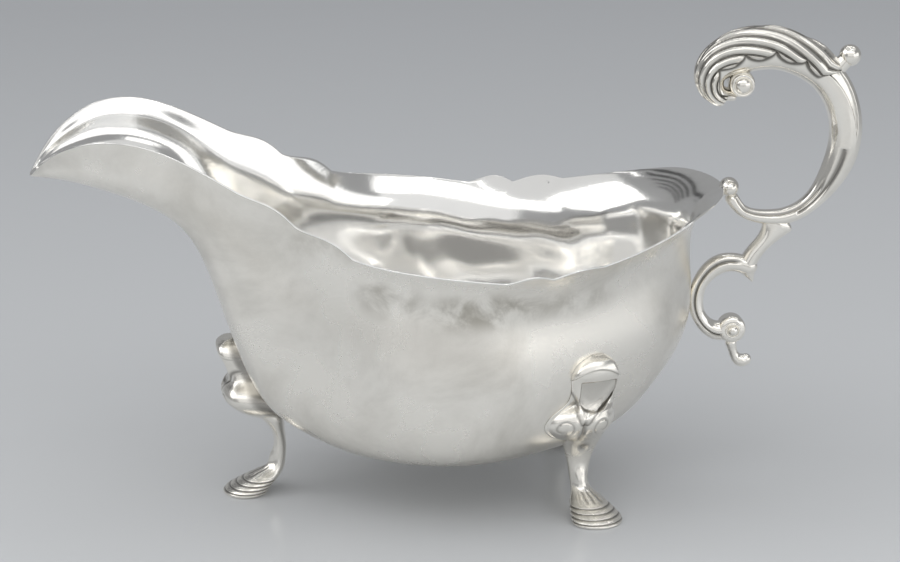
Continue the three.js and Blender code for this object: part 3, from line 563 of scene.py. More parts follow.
def tidy_mesh(mesh):
    """Joins corners that meet, drops faces with no area and points every face outwards."""
    edited = bmesh.new()
    edited.from_mesh(mesh)
    bmesh.ops.remove_doubles(edited, verts=edited.verts, dist=JOIN_DISTANCE)
    bmesh.ops.dissolve_degenerate(edited, edges=edited.edges, dist=JOIN_DISTANCE / 20)
    bmesh.ops.recalc_face_normals(edited, faces=edited.faces)
    edited.to_mesh(mesh)
    edited.free()
    mesh.shade_smooth()
    mesh.update()


def mirrored(points):
    """The points on the other side of the plane y = 0."""
    return points * np.array([1, -1, 1])


def bowl_sheets(shape):
    """Outer face, inner face and rounded edge of the sheet, each for the near and the far side.
    The edge is a half circle from one face to the other."""
    turn = np.linspace(0, 1, 221)[:, None]
    radius = shape.thickness(turn[:, 0]) * RIM_SHARE / 2
    top = shape.edge_rise(turn[:, 0], -radius)[:, None]
    rise = top * (1 - (1 - np.linspace(0, 1, 81)[None, :]) ** 1.2)
    outer = shape.points(turn, rise)
    normal = shape.normals(turn, rise)
    below = (top - rise) * SECTION_LENGTH
    full = smooth_step(below, 0, RIM_TAPER)
    thickness = shape.thickness(turn) * (RIM_SHARE + (1 - RIM_SHARE) * full)
    inner = outer - normal * thickness[..., None]
    waves = smooth_step(below, *CALM) * smooth_step(np.abs(outer[..., 1]), *CALM)
    inner += normal * (hammer_waves(outer, shape.size.ripple) * waves)[..., None]
    for face in (outer, inner):
        face[:, 0, 1] = 0
        face[[0, -1], :, 1] = 0
    middle = (outer[:, -1] + inner[:, -1]) / 2
    across = outer[:, -1] - middle
    ahead = outer[:, -1] - outer[:, -2]
    ahead[0] = ahead[1]  # the section at the tip is a single point, without a direction
    ahead /= np.linalg.norm(ahead, axis=-1, keepdims=True)
    angle = np.linspace(0, np.pi, 9)[None, :, None]
    edge = (middle[:, None] + across[:, None] * np.cos(angle)
            + ahead[:, None] * radius[:, None, None] * np.sin(angle))
    edge[[0, -1], :, 1] = 0
    near = [outer, inner, edge]
    return near + [mirrored(sheet) for sheet in near]


class Scroll:
    """A cast bar carried along a line in the mirror plane. Rows of x, z, half depth and half width
    are smoothed over the length of the line; a section is an oval, with angle 0 away from the
    middle of the scroll and the near flank at negative angles."""

    def __init__(self, rows, origin, count, start=0.0, end=1.0):
        rows = np.asarray(rows, float) * MM
        rows[:, :2] += origin
        lengths = np.concatenate([[0], np.cumsum(np.hypot(*np.diff(rows[:, :2], axis=0).T))])
        curve = spline(np.column_stack([lengths, rows]))
        at = np.linspace(start, end, count) * lengths[-1]
        self.row = np.interp(at, lengths, np.arange(len(rows)))
        self.x, self.z, self.depth, self.width = curve(at).T
        ahead = (curve(at + 1e-5) - curve(at - 1e-5))[:, :2]
        self.tangent = ahead / np.linalg.norm(ahead, axis=1, keepdims=True)

    def points(self, angle, raised):
        """Points at angles round each section, raised above the oval by a depth in metres."""
        out = (self.depth[:, None] + raised) * np.cos(angle)
        x = self.x[:, None] + out * self.tangent[:, 1:]
        y = (self.width[:, None] + raised) * np.sin(angle)
        z = self.z[:, None] - out * self.tangent[:, :1]
        return np.stack([x, y, z], -1)


def rounded_ends(rings):
    """Closes a tube of rings with a half oval at each end: rings shrink by cos a while they move
    on by sin a times the ring's smaller radius."""
    angle = np.linspace(np.pi / 2, 0, END_RINGS + 1)[:-1, None, None]
    ends = []
    for first, second in ((rings[0], rings[1]), (rings[-1], rings[-2])):
        centre = first.mean(0)
        way = centre - second.mean(0)
        way /= np.linalg.norm(way)
        reach = np.linalg.norm(first - centre, axis=1).min()
        ends.append(centre + way * reach * np.sin(angle) + (first - centre) * np.cos(angle))
    return np.concatenate([ends[0], rings, ends[1][::-1]])


def ends_padded(values):
    """Repeats the first and last rows of values for the rings that rounded_ends adds."""
    return np.concatenate([np.repeat(values[:1], END_RINGS, 0), values,
                           np.repeat(values[-1:], END_RINGS, 0)])


def turned(profile, centre, sides=72):
    """A body turned about an axis along y through centre = (x, z): profile is rows of radius and
    place across, and starts and ends on the axis."""
    profile = np.asarray(profile, float)
    angle = np.linspace(0, 2 * np.pi, sides, endpoint=False)[None, :]
    x = centre[0] + profile[:, :1] * np.cos(angle)
    z = centre[1] + profile[:, :1] * np.sin(angle)
    y = np.broadcast_to(profile[:, 1:], x.shape)
    return np.stack([x, y, z], -1)


def ball(radius, half, centre):
    """An oval ball: radius cos a, half sin a."""
    angle = np.linspace(-np.pi / 2, np.pi / 2, 37)
    return turned(np.column_stack([radius * np.cos(angle), half * np.sin(angle)]), centre)


def disc(radius, half, centre):
    """A flat round body with soft edges: radius cos^0.45 a, half sin^0.45 a."""
    angle = np.linspace(-np.pi / 2, np.pi / 2, 49)
    sine = np.sin(angle)
    across = half * np.sign(sine) * np.abs(sine) ** 0.45
    return turned(np.column_stack([radius * np.abs(np.cos(angle)) ** 0.45, across]), centre)


def button(radius, base, height, centre, side):
    """A domed button inside a raised ring, standing on one face of a disc."""
    ring = [(0, 0), (1, 0), (1, 0.26), (0.95, 0.36), (0.86, 0.38), (0.78, 0.3), (0.73, 0.2)]
    angle = np.linspace(0, np.pi / 2, 15)
    dome = np.column_stack([0.7 * np.cos(angle), 0.2 + 0.8 * np.sin(angle)])
    profile = np.concatenate([ring, dome]) * [radius, height] + [0, base]
    return turned(profile * [1, side], centre, 64)


def rim_end(shape):
    """X and z of the back end of the rim."""
    return np.array([shape.x_of(RIM[-1, 0]), shape.height_of(RIM[-1, 2])])


def seat(shape, drop):
    """X and z of the place on the back wall where the lower scroll sits."""
    wall = shape.points(1.0, np.linspace(0.3, 0.93, 400))
    height = rim_end(shape)[1] - drop
    return np.array([np.interp(height, wall[:, 2], wall[:, 0]), height])


def ring_angles(count=96):
    """Angles round a section, as one row."""
    return np.linspace(-np.pi, np.pi, count, endpoint=False)[None, :]


def between(value, low, high, soft):
    """1 from low to high, and down to 0 over soft outside them."""
    return smooth_step(value, low - soft, low) * (1 - smooth_step(value, high, high + soft))


def channel(row, flank, place, breadth, first, last, soft):
    """Depth, 0 to 1, of a channel along both flanks of a bar."""
    return ridge(flank - place, breadth) * between(row, first, last, soft)


def upper_scroll_sheets(shape, size):
    """The upper scroll with its channels: one along the inner flanks from the bead, one that runs up
    each flank to an abrupt step, and a pointed sunk panel on each side of the back. It is painted
    dark as painted shade in them, and with the leaf's painted shadow under the leaf's edge."""
    origin = rim_end(shape)
    scroll = Scroll(UPPER_SCROLL, origin, 420)
    angle = ring_angles(120)
    flank = np.degrees(np.abs(angle))
    row = scroll.row[:, None]
    inner = channel(row, flank, *INNER_CHANNEL)
    side = channel(row, flank, *SIDE_CHANNEL)
    reach = PANEL_REACH * np.clip((row - 6.5) / 3.0, 0, 1)
    away = np.abs(flank - PANEL_FLANK)
    panel = smooth_step(reach - away, 0, 5) * between(row, 6.4, 10.5, 0.3)
    edge = ridge(away - reach, 4) * between(row, 6.6, 10.2, 0.3)
    along = (np.linspace(0, 1, 420)[:, None] - LEAF_START) / (LEAF_END - LEAF_START)
    lobe, taper = leaf_edge(along)
    # Painted shadow of the leaf, in a band just beyond its lobed edge
    under = ridge(flank - LEAF_SPREAD * lobe * taper - 3, 7) * between(along, 0.1, 1, 0.05)
    raised = size.groove_depth * (0.16 * edge - inner - 1.1 * side - 0.8 * panel)
    tube = rounded_ends(scroll.points(angle, raised))
    # Painted shade: in the channels, along the panel's edges, and the leaf's painted shadow
    dark = 0.75 * inner + 0.85 * side + 0.5 * panel * (1 - panel) * 4 + 1.3 * under
    depth = ends_padded(np.clip(dark, 0, 1))
    curl = disc(*CURL_DISC, origin + np.array(CURL_CENTRE) * MM)
    return [(tube, True), (curl, True)], [depth, None]


def leaf_count(place):
    """Lobes along the leaf's edge up to a place from its pointed end, where it is 0."""
    return LEAF_LOBES * place * np.where(place > 0, 1.15 + 0.16 * place, 1.0)


def leaf_edge(along):
    """Flank angle of the leaf's lobed edge, as a share of its spread, at a place along it."""
    lobe = 0.78 + 0.22 * np.abs(np.sin(np.pi * leaf_count(along))) ** 0.7
    return lobe, np.minimum(1, LEAF_WIDENING[0] + LEAF_WIDENING[1] * np.sqrt(np.maximum(0, along)))


def leaf_sheet(shape, size):
    """The leaf over the back of the scroll. Its long edges are cut into lobes. Its flutes run
    lengthwise from the curl, and one after the other comes down to the edge and ends in a lobe:
    height |sin(pi t(a))|, where a = along - c (1 - |v|) is the place where a flute meets the edge
    and t counts the lobes up to there. Each lobe has a fold, and a vein runs along the middle. The
    valleys, the vein and the edge are painted dark as painted shade, and the underside fully."""
    scroll = Scroll(UPPER_SCROLL, rim_end(shape), 361, LEAF_START, LEAF_END)
    along = np.linspace(0, 1, 361)[:, None]
    v = np.sin(np.linspace(-np.pi / 2, np.pi / 2, 131))[None, :]
    lobe, taper = leaf_edge(along)
    spread = math.radians(LEAF_SPREAD) * lobe * taper
    turn = leaf_count(along - LEAF_SWEEP * (1 - np.abs(v) * lobe))
    crest = np.abs(np.sin(np.pi * turn)) ** 0.6
    fold = ridge(turn % 1 - 0.72, 0.09)
    vein = ridge(v, 0.04)
    ends = np.sqrt(smooth_step(along, 0, 0.03) * (1 - smooth_step(along, 0.985, 1)))
    rounding = np.sqrt(np.maximum(0, 1 - v**12)) * ends
    full = size.leaf_thickness * np.minimum(1, 0.45 + 4 * along)
    cut = size.flute_depth * (1 - crest + 0.22 * fold) + VEIN_DEPTH * vein
    top = LEAF_BED + np.maximum(LEAF_LEAST, full - cut) * rounding
    outer = scroll.points(v * spread, top)
    inner = scroll.points(v * spread, np.full_like(top, LEAF_BED))
    # Painted shadow along the leaf's edge, where it stands off the scroll
    edge_shadow = smooth_step(np.abs(v), 0.93, 0.995)
    # Painted shade in the flute valleys, along the vein and at the edge
    depth = np.clip((1 - crest) ** 1.1 * 1.7 + 0.6 * vein + edge_shadow, 0, 1) * np.ones_like(top)
    sheet = np.concatenate([outer, inner[:, -2:0:-1]], 1)
    # The underside of the leaf is painted fully dark, as painted shade
    shade_marks = np.concatenate([depth, np.ones_like(inner[:, -2:0:-1, 0])], 1)
    return (sheet, True), shade_marks


def plain_scroll(rows, origin, count, groove=None):
    """A cast bar with rounded ends, and its painted shade, dark in its channel. groove is its
    channel, if it has one.
    """
    scroll = Scroll(rows, origin, count)
    angle = ring_angles()
    depth = np.zeros((count, angle.shape[1]))
    if groove:
        depth = channel(scroll.row[:, None], np.degrees(np.abs(angle)), *groove)
    raised = -bpy.context.scene.boat_handle.groove_depth * depth
    return (rounded_ends(scroll.points(angle, raised)), True), ends_padded(depth)


class LegFrame:
    """Where a leg's ankle stands and which way it faces. side is 0 in front, -1 left, 1 right."""

    def __init__(self, shape, feet, side, turn=0.0):
        self.x = shape.x_of(feet.rear_station if side else feet.front_station)
        self.y = side * feet.rear_spread * shape.size.width / 2
        angle = feet.leg_angle + turn
        self.along_x, self.along_y = (np.sin(angle), side * np.cos(angle)) if side else (-1.0, 0.0)

    def points(self, reach, across, height):
        """Points from their reach out of the ankle, their place across and their height."""
        x = self.x + reach * self.along_x - across * self.along_y
        y = self.y + reach * self.along_y + across * self.along_x
        return np.stack(np.broadcast_arrays(x, y, height), -1)

    def local(self, points):
        """Reach and place across of points, which undoes the lines above."""
        x = points[..., 0] - self.x
        y = points[..., 1] - self.y
        return x * self.along_x + y * self.along_y, y * self.along_x - x * self.along_y


def leg_sheet(shape, feet, side):
    """A leg as level ovals from the sole up. The hoof has level ridges with sharp valleys and a
    fan of folds over them, the instep a boss, and the shank a small notch under the knee."""
    height = np.concatenate([np.linspace(0, 6, 130), np.linspace(6.1, LEG[-1, 0], 110)])[:, None]
    back, front, half = np.moveaxis(spline(LEG)(height[:, 0]), -1, 0)[..., None]
    angle = ring_angles(128)
    facing = np.clip(np.cos(angle), 0, 1)
    saw = height / HOOF_PITCH % 1
    hoof = 1 - smooth_step(height, *HOOF_TOP)
    valley = (ridge(saw, 0.16) + ridge(saw - 1, 0.16)) * hoof * smooth_step(height, 0.3, 0.8)
    sole = np.sqrt(np.clip(1 - (1 - height / 0.5) ** 2, 0, 1)) ** 0.7
    sole = np.where(height < 0.5, 0.5 * sole - 0.5, 0)
    boss = ridge(height - BOSS_HEIGHT, 2.4) * ridge(angle, 0.6)
    folds = np.abs(np.sin(6.5 * angle)) ** 0.7
    fan = (1 - folds) * between(height, *FAN, 0.8) * smooth_step(facing, 0.5, 0.75)
    arch = ridge(height - FAN[0] - 0.5 * facing, 0.3) * facing
    notch = ridge(height - NOTCH_HEIGHT, 1.2) * ridge(angle, 0.3)
    raised = 1.2 * boss + 0.2 * arch - 0.3 * valley - 0.35 * fan - 0.6 * notch + sole
    middle = (front + back) / 2
    reach = (middle + ((front - back) / 2 + raised) * np.cos(angle)) * MM
    across = (half + raised) * np.sin(angle) * MM
    turn = feet.hoof_turn * (1 - smooth_step(height, *HOOF_BEND))
    rings = LegFrame(shape, feet, side, turn).points(reach, across, height * MM)
    caps = [np.repeat(ring.mean(0)[None, None], rings.shape[1], 1) for ring in (rings[0], rings[-1])]
    # Painted shade: dark in the hoof's valleys, between the fan's folds and in the notch
    depth = np.clip(0.9 * valley + 0.8 * notch + 0.8 * fan, 0, 1)
    shade_marks = np.concatenate([depth[:1] * 0, depth + 0 * angle, depth[-1:] * 0])
    return (np.concatenate([caps[0], rings, caps[1]]), True), shade_marks


def wall_reach(shape, ankle, across, height):
    """How far out from the ankle the bowl's face lies at places across and heights: the nearest
    point of a coarse net of the face, then Newton's steps in turn and rise."""
    turn, rise = np.meshgrid(np.linspace(0.03, 0.97, 120), np.linspace(0, 1, 90), indexing="ij")
    face = shape.points(turn, rise)
    net_reach, net_across = (part.ravel() for part in ankle.local(face))
    net_across = np.where(net_reach < -MOST_BACK, 1.0, net_across)
    net_height = face[..., 2].ravel()
    grid = across.shape
    across, height = across.ravel(), height.ravel()
    parts = 40  # worked out in parts, to spare memory
    found = [np.argmin((net_across - a[:, None]) ** 2 + (net_height - h[:, None]) ** 2, 1)
             for a, h in zip(np.array_split(across, parts), np.array_split(height, parts))]
    found = np.concatenate(found)
    turn, rise = turn.ravel()[found], rise.ravel()[found]

    def miss(turn, rise):
        points = shape.points(turn, rise)
        return np.stack([ankle.local(points)[1] - across, points[:, 2] - height], -1)

    step, flat = 1e-4, 1e-9
    for _ in range(6):
        here = miss(turn, rise)
        by_turn = (miss(turn + step, rise) - here) / step
        by_rise = (miss(turn, rise + step) - here) / step
        area = by_turn[:, 0] * by_rise[:, 1] - by_turn[:, 1] * by_rise[:, 0]
        area = np.where(np.abs(area) < flat, flat, area)
        d_turn = (here[:, 1] * by_rise[:, 0] - here[:, 0] * by_rise[:, 1]) / area
        d_rise = (here[:, 0] * by_turn[:, 1] - here[:, 1] * by_turn[:, 0]) / area
        turn = np.clip(turn + np.clip(d_turn, -0.03, 0.03), 0.02, 0.98)
        rise = np.clip(rise + np.clip(d_rise, -0.05, 0.05), 0, 1)
    return ankle.local(shape.points(turn, rise))[0].reshape(grid)


def knee_relief(w, h, lean):
    """Relief of a knee plate in mm and its painted shade, at w across from its middle and h above
    its foot: a hood, a sunk D under it, two straps in a V, sunk webs outside them, and a scrolled
    lobe on each side of a crease. lean moves what lies low on the plate across, in mm."""
    centre = w - 0.45 * lean
    w = w + lean * (1 - smooth_step(h, 9, 14))
    side = np.abs(w)
    hood = smooth_step(h - HOOD_EDGE + 2.4 * (w / 6) ** 2, -0.3, 0.3)
    arc = np.hypot(centre / SUNK_RADII[0], np.minimum(0, h - SUNK_ARC) / SUNK_RADII[1])
    sunk = (1 - smooth_step(arc, 0.88, 1.0)) * (1 - smooth_step(h, *SUNK_TOP))
    out, up = STRAP_RUN
    over = h - STRAP_FOOT
    along = np.clip((side * out + over * up) / (out**2 + up**2), 0, 1)
    gap = np.hypot(side - out * along, over - up * along)
    strap = ridge(gap, 1.0)
    beyond = side * up - over * out
    seam = ridge(gap - 1.25, 0.3) * smooth_step(beyond, 2, 8) * (h > 8)
    web = smooth_step(beyond, 8, 16) * between(h, 12.6, 19.5, 1.5)
    x, z = side - LOBE_CENTRE[0], h - LOBE_CENTRE[1]
    ring = np.hypot(x, z)
    lobe = np.sqrt(np.clip(1 - (ring / LOBE_RADIUS) ** 2, 0, 1))
    wound = (ring / SCROLL_PITCH - np.arctan2(z, x) / (2 * np.pi) + 0.35) % 1
    spiral = (ridge(wound, 0.12) + ridge(wound - 1, 0.12)) * between(ring, 1.2, 2.6, 0.6)
    crease = ridge(w, 0.55) * (1 - smooth_step(h, 8.6, 10.0)) * smooth_step(h, 0.5, 2)
    relief = (0.8 * hood - 0.9 * sunk + 0.45 * strap - 1.1 * web + 0.9 * lobe
              - 0.3 * spiral - 0.6 * crease - 0.25 * seam)
    rim = 4 * hood * (1 - hood) + 4 * sunk * (1 - sunk)
    # Painted shade: at the edges of the hood and the D, in the D, the webs, the spiral, the crease
    # and the seams
    shade_marks = 0.5 * rim + 0.3 * sunk + 0.1 * web + 0.5 * spiral + 0.7 * crease + 0.7 * seam
    return relief, np.clip(shade_marks, 0, 1)


def plate_sheet(shape, feet, side):
    """A knee plate: a bowed relief in front, and a back that follows the bowl's face. The front
    plate has a lower relief that falls back at its top, and edges painted dark as the painted
    shadow of the gap between it and the bowl."""
    ankle = LegFrame(shape, feet, side)
    share = feet.front_plate_share if side == 0 else 1.0
    at = np.linspace(0, 1, 150)[:, None]
    front, half, fall = np.moveaxis(spline(KNEE)(at[:, 0]), -1, 0)[..., None]
    half = np.maximum(half, 0.6)
    angle = np.linspace(-np.pi / 2, np.pi / 2, 121)[None, :]
    w = half * np.sin(angle)
    h = at * feet.plate_height / MM
    relief, shade_marks = knee_relief(w, h + 0 * w, -side * KNEE_LEAN)
    if side == 0:
        relief = FRONT_RELIEF * relief - FRONT_FALL * smooth_step(h, *FRONT_TOP)
        # Painted shadow along the front plate's edges, where it stands off the bowl
        edge = smooth_step(np.abs(np.sin(angle)), 0.97, 0.995)
        shade_marks = np.maximum(shade_marks, FRONT_EDGE_SHADOW * edge)
    flat = np.cos(angle) ** 0.5
    outer_side = np.clip(-side * np.sin(angle), 0, 1) * (1 - smooth_step(h, 10, 15))
    across = (w * (1 - 0.2 * outer_side) + side * feet.plate_shift * fall) * MM
    height = (KNEE_FOOT * MM + at * feet.plate_height * share) + 0 * across
    face = (front - fall * (1 - np.cos(angle)) + relief * flat - 3 * outer_side**2) * MM
    reach_across = np.abs(across) if side == 0 else across
    near = ankle if side <= 0 else LegFrame(shape, feet, -1)
    gap = feet.plate_gap + (FRONT_LIFT * np.sin(angle) ** 2 if side == 0 else 0)
    back = wall_reach(shape, near, reach_across * (-1 if side > 0 else 1), height) + gap
    face = np.maximum(face, back + PLATE_LEAST)
    ends = np.sqrt(smooth_step(at, 0, 0.04) * (1 - smooth_step(at, 0.965, 1)))
    face = back + (face - back) * ends * np.sqrt(np.maximum(0, 1 - np.sin(angle) ** 20))
    outer = ankle.points(face, across, height)
    inner = ankle.points(back, across, height)
    sheet = np.concatenate([outer, inner[:, ::-1]], 1)
    # The back, against the bowl, is painted a little dark as painted shade
    shade_marks = np.concatenate([shade_marks * np.ones_like(face), np.ones_like(face) * 0.15], 1)
    return (sheet, True), shade_marks


def feed(tree, socket, value):
    """Gives a node's input a value, or links it from another node's output."""
    if isinstance(value, bpy.types.NodeSocket):
        tree.links.new(value, socket)
    else:
        socket.default_value = value


def add_node(tree, kind, inputs=None, **choices):
    """A node with its choices and inputs."""
    made = tree.nodes.new(kind)
    for name, choice in choices.items():
        setattr(made, name, choice)
    for name, value in (inputs or {}).items():
        feed(tree, made.inputs[name], value)
    return made


def math_node(tree, operation, first, second):
    """The result of one sum of two numbers."""
    return add_node(tree, "ShaderNodeMath", {0: first, 1: second}, operation=operation).outputs[0]


def times(tree, first, second):
    """The product of two numbers."""
    return math_node(tree, "MULTIPLY", first, second)


def level(tree, value, low, high, ends=(0.0, 1.0), soft=False):
    """A number brought from low and high to two ends, in a line or softly, and held beyond them."""
    inputs = {"Value": value, "From Min": low, "From Max": high, "To Min": ends[0],
              "To Max": ends[1]}
    return add_node(tree, "ShaderNodeMapRange", inputs,
                    interpolation_type="SMOOTHSTEP" if soft else "LINEAR").outputs[0]


def start_group(name, inputs, output):
    """A node group that works on a vector and on further inputs, each a name and its default, and
    puts out one number: the group, what it is given, and the socket of its result."""
    group = bpy.data.node_groups.new(name, "ShaderNodeTree")
    for label, value in (("Vector", (0, 0, 0)), *inputs):
        kind = "NodeSocketFloat" if isinstance(value, float) else "NodeSocketVector"
        group.interface.new_socket(label, in_out="INPUT", socket_type=kind).default_value = value
    group.interface.new_socket(output, in_out="OUTPUT", socket_type="NodeSocketFloat")
    given = group.nodes.new("NodeGroupInput").outputs
    return group, given, group.nodes.new("NodeGroupOutput").inputs[0]


def hairline_group():
    """Fine scratches: noise drawn out along a line in three directions, cut off to thin streaks."""
    group, given, result = start_group("Hairlines", (), "Height")
    total = None
    for turn, stretch in SCRATCH_WAYS:
        drawn = add_node(group, "ShaderNodeMapping", {
            "Vector": given["Vector"], "Rotation": turn, "Scale": stretch})
        noise = add_node(group, "ShaderNodeTexNoise", {
            "Vector": drawn.outputs[0], "Scale": 1.0, "Detail": 2.0})
        line = level(group, noise.outputs[0], 0.56, 0.74)
        total = line if total is None else math_node(group, "MAXIMUM", total, line)
    group.links.new(math_node(group, "SUBTRACT", 1.0, total), result)
    return group


def cloud_group():
    """A soft patchy mask of noise between two levels."""
    group, given, result = start_group(
        "Clouds", (("Size", 40.0), ("Low", 0.4), ("High", 0.7)), "Mask")
    noise = add_node(group, "ShaderNodeTexNoise", {
        "Vector": given["Vector"], "Scale": given["Size"], "Detail": 6.0, "Roughness": 0.62,
        "Distortion": 0.4})
    mask = level(group, noise.outputs[0], given["Low"], given["High"], soft=True)
    group.links.new(mask, result)
    return group


def patch_group():
    """A soft oval patch: 1 at its centre and 0 beyond its reach along each axis."""
    group, given, result = start_group(
        "Patch", (("Centre", (0, 0, 0)), ("Reach", (1, 1, 1))), "Mask")
    moved = add_node(group, "ShaderNodeVectorMath", {0: given["Vector"], 1: given["Centre"]},
                     operation="SUBTRACT")
    shared = add_node(group, "ShaderNodeVectorMath", {0: moved.outputs[0], 1: given["Reach"]},
                      operation="DIVIDE")
    length = add_node(group, "ShaderNodeVectorMath", {0: shared.outputs[0]}, operation="LENGTH")
    mask = level(group, length.outputs["Value"], 0.25, 1.0, (1.0, 0.0), soft=True)
    group.links.new(mask, result)
    return group


def pit_group():
    """Rare small pits: the middles of cells, where a noise allows them."""
    group, given, result = start_group("Pits", (("Level", 0.62),), "Mask")
    cells = add_node(group, "ShaderNodeTexVoronoi", {"Vector": given["Vector"], "Scale": 520.0})
    spot = level(group, cells.outputs["Distance"], 0.06, 0.2, (1.0, 0.0))
    noise = add_node(group, "ShaderNodeTexNoise", {"Vector": given["Vector"], "Scale": 210.0})
    allowed = math_node(group, "GREATER_THAN", noise.outputs[0], given["Level"])
    group.links.new(times(group, spot, allowed), result)
    return group


def use_group(tree, build, name, **inputs):
    """The result of a node group, which is built when it is first used."""
    made = tree.nodes.new("ShaderNodeGroup")
    made.node_tree = bpy.data.node_groups.get(name) or build()
    for label, value in inputs.items():
        feed(tree, made.inputs[label], value)
    return made.outputs[0]


def cloudy(tree, place, size, low, high):
    """A patchy mask from the group of clouds."""
    return use_group(tree, cloud_group, "Clouds", Vector=place, Size=size, Low=low, High=high)


def mix_colour(tree, share, first, second):
    """Two colours mixed by a share."""
    made = add_node(tree, "ShaderNodeMix", {"Factor": share}, data_type="RGBA")
    feed(tree, made.inputs[6], first)
    feed(tree, made.inputs[7], second)
    return made.outputs[2]


def opaque(colour):
    """A colour of the settings, as a node's input takes it."""
    return (*colour, 1)


def start_material(name):
    """A new material: itself, its tree, its shader, and where a point is on the object."""
    material = bpy.data.materials.new(name)
    material.use_nodes = True
    tree = material.node_tree
    place = add_node(tree, "ShaderNodeTexCoord").outputs["Object"]
    return material, tree, tree.nodes["Principled BSDF"], place


def silver_material(name, roughness, haze, scratches, smudges=(), metal=None):
    """Polished silver: thin cloudy tarnish, painted shade in its hollows, hairline scratches and
    rare pits, darkened with the same colour.
    smudges are soft patches of rubbed-in dirt: centre, reach and strength."""
    found = bpy.data.materials.get(name)
    if found:
        return found
    finish = bpy.context.scene.boat_finish
    # The second colour is the near-black of the painted shade, which pits take too
    tarnish, shade_and_pit_colour = opaque(finish.tarnish), opaque(finish.shade_and_pit_colour)
    material, tree, shader, place = start_material(name)
    clouds = cloudy(tree, place, 34.0, 0.42, 0.78)
    colour = mix_colour(tree, times(tree, clouds, haze), opaque(metal or finish.silver), tarnish)
    rough = math_node(tree, "ADD", times(tree, clouds, HAZE_ROUGHNESS), roughness)
    for centre, reach, strength in smudges:
        patch = use_group(tree, patch_group, "Patch", Vector=place, Centre=centre, Reach=reach)
        spots = cloudy(tree, place, 95.0, 0.36, 0.62)
        dirt = times(tree, times(tree, patch, spots), strength)
        colour = mix_colour(tree, dirt, colour, tarnish)
        rough = math_node(tree, "ADD", rough, times(tree, dirt, DIRT_ROUGHNESS))
    # Painted shade: hollows, creases and undersides are painted towards the near-black colour
    painted_shade = add_node(tree, "ShaderNodeAttribute", attribute_name="painted_shade").outputs["Fac"]
    pits = use_group(tree, pit_group, "Pits", Vector=place, Level=PIT_LEVEL)
    colour = mix_colour(tree, times(tree, painted_shade, PAINTED_SHADE_DARK), colour, shade_and_pit_colour)
    # Pits are darkened with the same near-black colour
    colour = mix_colour(tree, times(tree, pits, PIT_DARK), colour, shade_and_pit_colour)
    lines = use_group(tree, hairline_group, "Hairlines", Vector=place)
    height = math_node(tree, "SUBTRACT", lines, times(tree, pits, PIT_DEPTH))
    bump = add_node(tree, "ShaderNodeBump", {
        "Height": height, "Strength": scratches, "Distance": SCRATCH_DEPTH})
    for label, value in (("Base Color", colour), ("Roughness", rough), ("Metallic", 1.0),
                         ("Normal", bump.outputs[0])):
        feed(tree, shader.inputs[label], value)
    return material


def bowl_materials(finish):
    """The rubbed outer face and the bright inner face of the bowl."""
    return [
        silver_material("silver_outside", finish.outside_roughness, haze=0.38, scratches=0.5,
                        smudges=SMUDGES),
        silver_material("silver_inside", finish.inside_roughness, haze=0.12, scratches=0.2,
                        metal=finish.bright_silver),
    ]


def add_casting(name, sheets, shade_marks=None):
    """A piece of the handle, in polished castings, in place of the node of the same name."""
    roughness = bpy.context.scene.boat_finish.cast_roughness
    silver = silver_material("silver_cast", roughness, haze=0.22, scratches=0.25)
    add_mesh(name, sheets, [silver], f"handle_{name}", shade_marks)


class BuildBowl(bpy.types.Operator):
    """Builds the raised bowl with its long lip"""

    bl_idname = "sauce_boat.bowl"
    bl_label = "Bowl"

    def execute(self, context):
        sheets = [(sheet, False) for sheet in bowl_sheets(BowlShape(context.scene.boat_bowl))]
        add_mesh("raised_bowl", sheets, bowl_materials(context.scene.boat_finish),
                 "bowl", kinds=[0, 1, 1, 0, 1, 1])
        return {"FINISHED"}


class BuildScrolls(bpy.types.Operator):
    """Builds the upper and the lower scroll of the handle"""

    bl_idname = "sauce_boat.scrolls"
    bl_label = "Scrolls"

    def execute(self, context):
        shape, size = BowlShape(context.scene.boat_bowl), context.scene.boat_handle
        add_casting("upper_scroll", *upper_scroll_sheets(shape, size))
        origin = seat(shape, size.seat_drop)
        body, depth = plain_scroll(LOWER_SCROLL, origin, 220, LOWER_CHANNEL)
        spur, spur_depth = plain_scroll(SPUR, origin, 40)
        volute = disc(*VOLUTE_DISC, origin + np.array(VOLUTE_CENTRE) * MM)
        add_casting("lower_scroll", [body, spur, (volute, True)], [depth, spur_depth, None])
        return {"FINISHED"}


class BuildLeaf(bpy.types.Operator):
    """Builds the fluted leaf over the upper scroll"""

    bl_idname = "sauce_boat.leaf"
    bl_label = "Leaf"

    def execute(self, context):
        shape = BowlShape(context.scene.boat_bowl)
        sheet, shade_marks = leaf_sheet(shape, context.scene.boat_handle)
        add_casting("leaf_cap", [sheet], [shade_marks])
        return {"FINISHED"}


